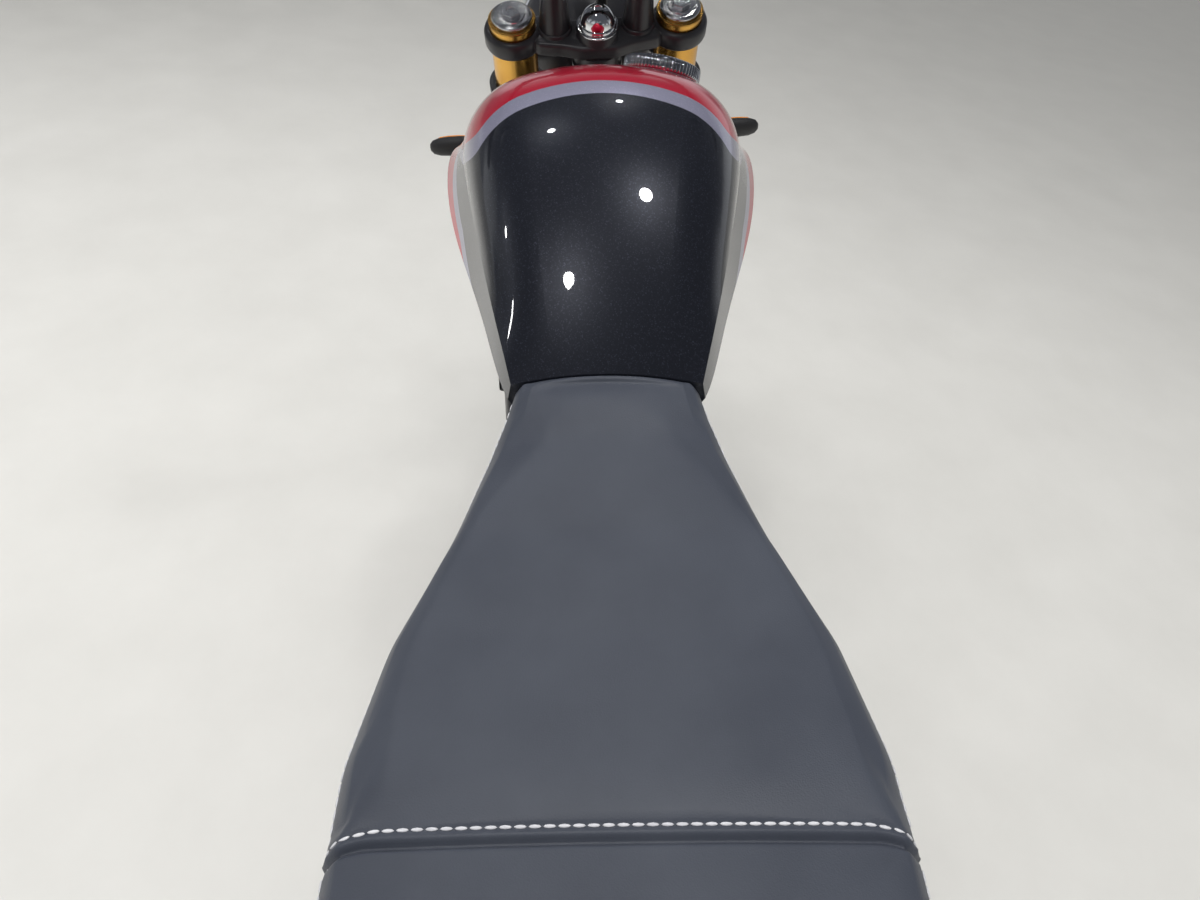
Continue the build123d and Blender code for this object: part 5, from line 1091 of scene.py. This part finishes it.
def add_tyre(name, place, body, replaced, radius, half_width, crown, rim_half, pitches, sweep):
    """A tyre whose diagonal grooves follow its own mesh lines, with two grooves round it."""
    profile, first, count = tyre_profile(radius, half_width, crown, rim_half)
    # One pitch of the pattern: where each mesh line lies, and whether it is in a groove
    pattern = ((0.0, 0), (0.05, 1), (0.2, 1), (0.25, 0), (0.4, 0), (0.6, 0), (0.75, 0), (0.9, 0))
    lines = [(pitch, width, grooved) for pitch in range(pitches) for width, grooved in pattern]
    size = len(profile)
    points, faces = [], []
    for station, (pitch, width, grooved) in enumerate(lines):
        for number, (r, y) in enumerate(profile):
            share = abs(y) / half_width
            side_turn = 0.5 if y < 0 else 0.0
            angle = 2 * pi * (pitch + width + side_turn + sweep * min(share, 1.0) ** 1.4) / pitches
            depth = 0.0
            if first <= number < first + count:
                if grooved and 0.24 < share < 0.9 and not (pitch % 2 and share < 0.5):
                    depth = diagonal_groove
                if abs(share - 0.2) < 0.035:
                    depth = round_groove
            points.append(((r - depth) * cos(angle), y, (r - depth) * sin(angle)))
        here, after = station * size, (station + 1) % len(lines) * size
        for number in range(size):
            following = (number + 1) % size
            faces.append((here + number, here + following, after + following, after + number))
    settle(name, shape_mesh(name, [(points, faces, place)]), "tyre_rubber", body, (replaced,), sharp=40)


def add_wheel_bolts():
    """Bolts of the discs and the sprocket, and valve stems."""
    front = [(FRONT_WHEEL, (x, 64.9, z), (0, 1, 0), 6.0) for x, z in ring_of(5, 54)]
    rear = [(REAR_WHEEL, (x, -70.9, z), (0, -1, 0), 5.4) for x, z in ring_of(5, 42)]
    rear += [(REAR_WHEEL, (x, 95.5, z), (0, 1, 0), 6.2) for x, z in ring_of(6, 48)]
    add_screws("front_disc_bolts", front, "front_wheel")
    add_screws("rear_wheel_bolts", rear, "rear_wheel")
    valve = lathe([(0, 0), (4.6, 0), (4.2, 6), (3.0, 9), (3.0, 20), (3.6, 20.5), (3.6, 29), (0, 30)], 24)
    turned("front_valve", [(valve, at(FRONT_WHEEL, (0, 0, 190.5), (0, 0.35, -1)))], "front_wheel", "rubber")
    turned("rear_valve", [(valve, at(REAR_WHEEL, (0, 0, 190.5), (0, 0.35, -1)))], "rear_wheel", "rubber")


# Chassis: shock, chain, engine covers, radiator, footrests and tail lamp


def add_shock():
    """A damper with its spring seats, two eyes and a wound spring."""
    foot, head = Vector((385, 0, 440)), Vector((560, 0, 640))
    place = at(MACHINE, foot, head - foot)
    body = [
        (0, 10), (10, 10), (11, 38), (20, 47), (33.6, 50), (33.8, 57), (28, 58.2), (14, 59), (14, 140),
        (21, 142), (21, 206), (29, 207.6), (33.8, 208.6), (33.8, 214.6), (27, 216), (22, 218), (22, 243),
        (15, 250), (0, 252),
    ]
    eye = lathe([(6.4, -14), (13.4, -14), (14, -13), (14, 13), (13.4, 14), (6.4, 14), (6.4, -14)], 40)
    eyes = [(eye, at(MACHINE, spot, (0, 1, 0), (0, 0, 1))) for spot in (foot, head)]
    turned("shock_damper", [(lathe(body, 56), place), *eyes], "chassis", "steel", ("shock",))
    spring = {"Turns": 7.25, "Radius": 0.0262, "Height": 0.1395, "Wire": 0.0054}
    start = bpy.data.meshes.new("spring_start")
    coil = grown("shock_spring", start, coil_group, spring, "spring_red", "chassis", sharp=60)
    coil.data.transform(place @ Matrix.Translation((0, 0, 63.5)) @ Matrix.Scale(1000, 4))


chain_pitch = 15.875
rear_sprocket, front_sprocket = (chain_pitch / (2 * sin(pi / teeth)) for teeth in (43, 15))
gearbox = Vector((612.0, 400.0))


def chain_pins():
    """The chain's pins round both sprockets, in the upright machine's side plane."""
    rear = Vector((0, rear_tyre_radius))
    span = gearbox - rear
    slope = atan2(span.y, span.x)
    wrap = acos((rear_sprocket - front_sprocket) / span.length)
    run = span.length * sin(wrap)
    front_arc, rear_arc = 2 * wrap * front_sprocket, (2 * pi - 2 * wrap) * rear_sprocket
    total = 2 * run + front_arc + rear_arc
    links = 2 * round(total / chain_pitch / 2)

    def on_rear(angle):
        return rear + Vector((cos(slope + angle), sin(slope + angle))) * rear_sprocket

    def on_front(angle):
        return gearbox + Vector((cos(slope + angle), sin(slope + angle))) * front_sprocket

    for number in range(links):
        gone = number * total / links
        if gone < run:
            yield on_rear(wrap).lerp(on_front(wrap), gone / run)
        elif gone < run + front_arc:
            yield on_front(wrap - (gone - run) / front_sprocket)
        elif gone < 2 * run + front_arc:
            yield on_front(-wrap).lerp(on_rear(-wrap), (gone - run - front_arc) / run)
        else:
            yield on_rear(-wrap - (gone - 2 * run - front_arc) / rear_sprocket)


def add_engine_bolts():
    """Screws round the engine's covers and pins along the chain."""
    screws = []
    # Each cover's middle and outer face, the circle of its screws, their number and size
    for x, y, z, radius, count, size in (
        (796, 98.4, 350, 63.2, 7, 4.4), (724, -106.4, 366, 80.6, 9, 4.6), (816, -96.4, 320, 35.2, 5, 3.6),
    ):
        side = 1 if y > 0 else -1
        screws += [(MACHINE, (x + a, y, z + b), (0, side, 0), size) for a, b in ring_of(count, radius, 12)]
    screws += [(MACHINE, (x, 108.9, z), (0, 1, 0), 4.4) for x, z in ((622, 449), (622, 351), (697, 400))]
    add_screws("engine_screws", screws, "chassis")
    pins = [(MACHINE, (x, 99.9, z), (0, 1, 0), 2.5) for x, z in chain_pins()]
    add_screws("chain_pins", pins, "chassis", "chain_steel", 8)


radiator_centre, radiator_tilt = Vector((1028, 0, 572)), radians(12)


def add_radiator():
    """A core between two end tanks, its filler neck and lugs, with flat tubes and thin fins on both faces."""
    centre, slope = radiator_centre, tan(radiator_tilt)
    up = Vector((sin(radiator_tilt), 0, cos(radiator_tilt)))
    out = Vector((up.z, 0, -up.x))
    place = at(MACHINE, centre, up)
    parts = [(prism(rounded_box(0, 13, 111, 1), -107, 107, 0.6), place)]
    parts += [(prism(rounded_box(side * 123, 17.5, 13, 3), -111.5, 111.5, 3.5), place) for side in (1, -1)]
    neck = [(0, 109), (13, 109), (13, 117), (18.5, 117.6), (18.5, 123), (16.5, 124.6), (0, 125)]
    parts.append((lathe(neck, 40), place @ Matrix.Translation((0, -122, 0))))
    for side in (1, -1):
        for along in (0.22, 0.78):
            # A lug from the frame's tube to the core's rear face
            x, y, z = 1010 - 78 * along, side * (62 + 18 * along), 702 - 142 * along
            reach = centre.x + (z - centre.z) * slope - x - 8
            lug = [(0, 0), (8, 0), (8, reach / 60), (8, reach), (0, reach)]
            parts.append((lathe(lug, 28), at(MACHINE, (x + 8, y, z), (1, 0, 0))))
    turned("radiator_body", parts, "chassis", "black_metal", ("radiator",), sharp=40)
    tubes, fins = [], []
    for face in (1, -1):
        for height in np.arange(-101, 102, 8.4):
            tubes.append((MACHINE, centre + out * face * 14.2 + up * height, out, (0, 1, 0)))
        for across in np.arange(-108, 109, 3.0):
            fins.append((MACHINE, centre + out * face * 14.0 + Vector((0, across, 0)), out, up))
    add_bars("radiator_tubes", tubes, (220, 1.8, 2.2), "chassis", "plastic_black")
    add_bars("radiator_fins", fins, (212, 0.7, 1.6), "chassis", "black_metal")


def add_rest_ribs():
    """Rubber ribs on the footrests and the tail lamp's upright bars."""
    ribs = [(MACHINE, (500, side * across, height), (0, 0, up), (1, 0, 0)) for side in (1, -1)
            for across in np.arange(192, 270, 9.0) for height, up in ((334.4, 1), (309.6, -1))]
    add_bars("footrest_ribs", ribs, (26, 3.6, 3.0), "chassis", "rubber")
    bars = [(MACHINE, (-102.0, across, 726), (-1, 0, 0), (0, 0, 1)) for across in np.arange(-48, 49, 6.0)]
    add_bars("tail_lamp_bars", bars, (17, 1.6, 1.8), "chassis", "lens_red")


add_top_yoke()
add_indicators()
add_fork_caps()
add_stem_nut()
add_fuel_cap()
add_grips()
add_mirror_glass()
add_dial()
add_headlight()
add_steering_bolts()
add_tyre("front_tyre_tread", FRONT_WHEEL, "front_wheel", "front_tyre", front_tyre_radius,
         half_width=55.0, crown=60.0, rim_half=38.0, pitches=34, sweep=1.1)
add_tyre("rear_tyre_tread", REAR_WHEEL, "rear_wheel", "rear_tyre", rear_tyre_radius,
         half_width=75.0, crown=80.0, rim_half=52.0, pitches=36, sweep=1.5)
add_wheel_bolts()
add_shock()
add_engine_bolts()
add_radiator()
add_rest_ribs()


# Floor, lamps and sky


def add_stage():
    """A plain pale floor, a soft patched sky, and lamps."""
    mesh = bpy.data.meshes.new("floor")
    reach = 14.0
    corners = [(-reach, -reach, 0), (reach, -reach, 0), (reach, reach, 0), (-reach, reach, 0)]
    mesh.from_pydata(corners, [], [(0, 1, 2, 3)])
    floor = linked("floor", mesh)
    floor.location.z = -0.0005
    mesh.materials.append(finish("floor_pale", (0.66, 0.65, 0.62), (0.7, 0.69, 0.66), 0.45, bump=0.02,
                                 tone_scale=5.0, bevel=0.0))
    bpy.context.scene.world = world = bpy.data.worlds.new("studio")
    world.use_nodes = True
    sky = world.node_tree
    place = shader_node(sky, "ShaderNodeTexCoord").outputs["Generated"]
    height = shader_node(sky, "ShaderNodeSeparateXYZ", {0: place}).outputs[2]
    share = ranged(sky, height, 0.05, 0.42, interpolation_type="SMOOTHSTEP")
    noise = shader_node(sky, "ShaderNodeTexNoise", {"Vector": place, "Scale": 3.2, "Detail": 0.5}).outputs[0]
    patches = ranged(sky, noise, 0.44, 0.56)
    low_sky = mix_colour(sky, patches, colour(0.12, 0.125, 0.14), colour(0.62, 0.64, 0.67))
    shade = mix_colour(sky, share, low_sky, colour(0.09, 0.095, 0.11))
    seen = shader_node(sky, "ShaderNodeLightPath").outputs
    shade = mix_colour(sky, seen["Is Diffuse Ray"], shade, colour(0.58, 0.58, 0.57))
    shade = mix_colour(sky, seen["Is Camera Ray"], shade, colour(0.86, 0.87, 0.88))
    fill(sky, sky.nodes["Background"], {"Color": shade, "Strength": 0.8})
    # Broad lamps light the machine; small ones leave the bright points on paint and chrome
    for name, place, size, power in (
        ("lamp_over", (0.3, 0.5, 3.4), 2.6, 62),
        ("lamp_left", (1.2, 3.0, 2.2), 2.0, 30),
        ("lamp_right", (-1.4, -2.8, 2.4), 2.0, 24),
        ("lamp_rear", (-3.2, 0.4, 2.6), 2.0, 17),
        ("point_ahead_left", (0.98, 0.83, 2.9), 0.08, 2),
        ("point_ahead", (1.79, -0.02, 2.9), 0.08, 2),
        ("point_over", (-0.13, -0.28, 2.9), 0.15, 5),
        ("point_behind", (-1.0, 0.66, 2.9), 0.15, 5),
        ("point_left", (0.37, 4.57, 2.9), 0.22, 6),
        ("point_far_left", (-0.82, 4.15, 2.9), 0.15, 3),
    ):
        light = bpy.data.lights.new(name, "AREA")
        light.shape = "DISK"
        light.size = size
        light.energy = power
        holder = linked(name, light)
        holder.location = place
        holder.rotation_euler = (Vector((0.1, 0, 0.6)) - Vector(place)).to_track_quat("-Z", "Y").to_euler()
        holder.visible_glossy = name.startswith("point")


add_stage()
bpy.context.scene.view_settings.view_transform = "Standard"
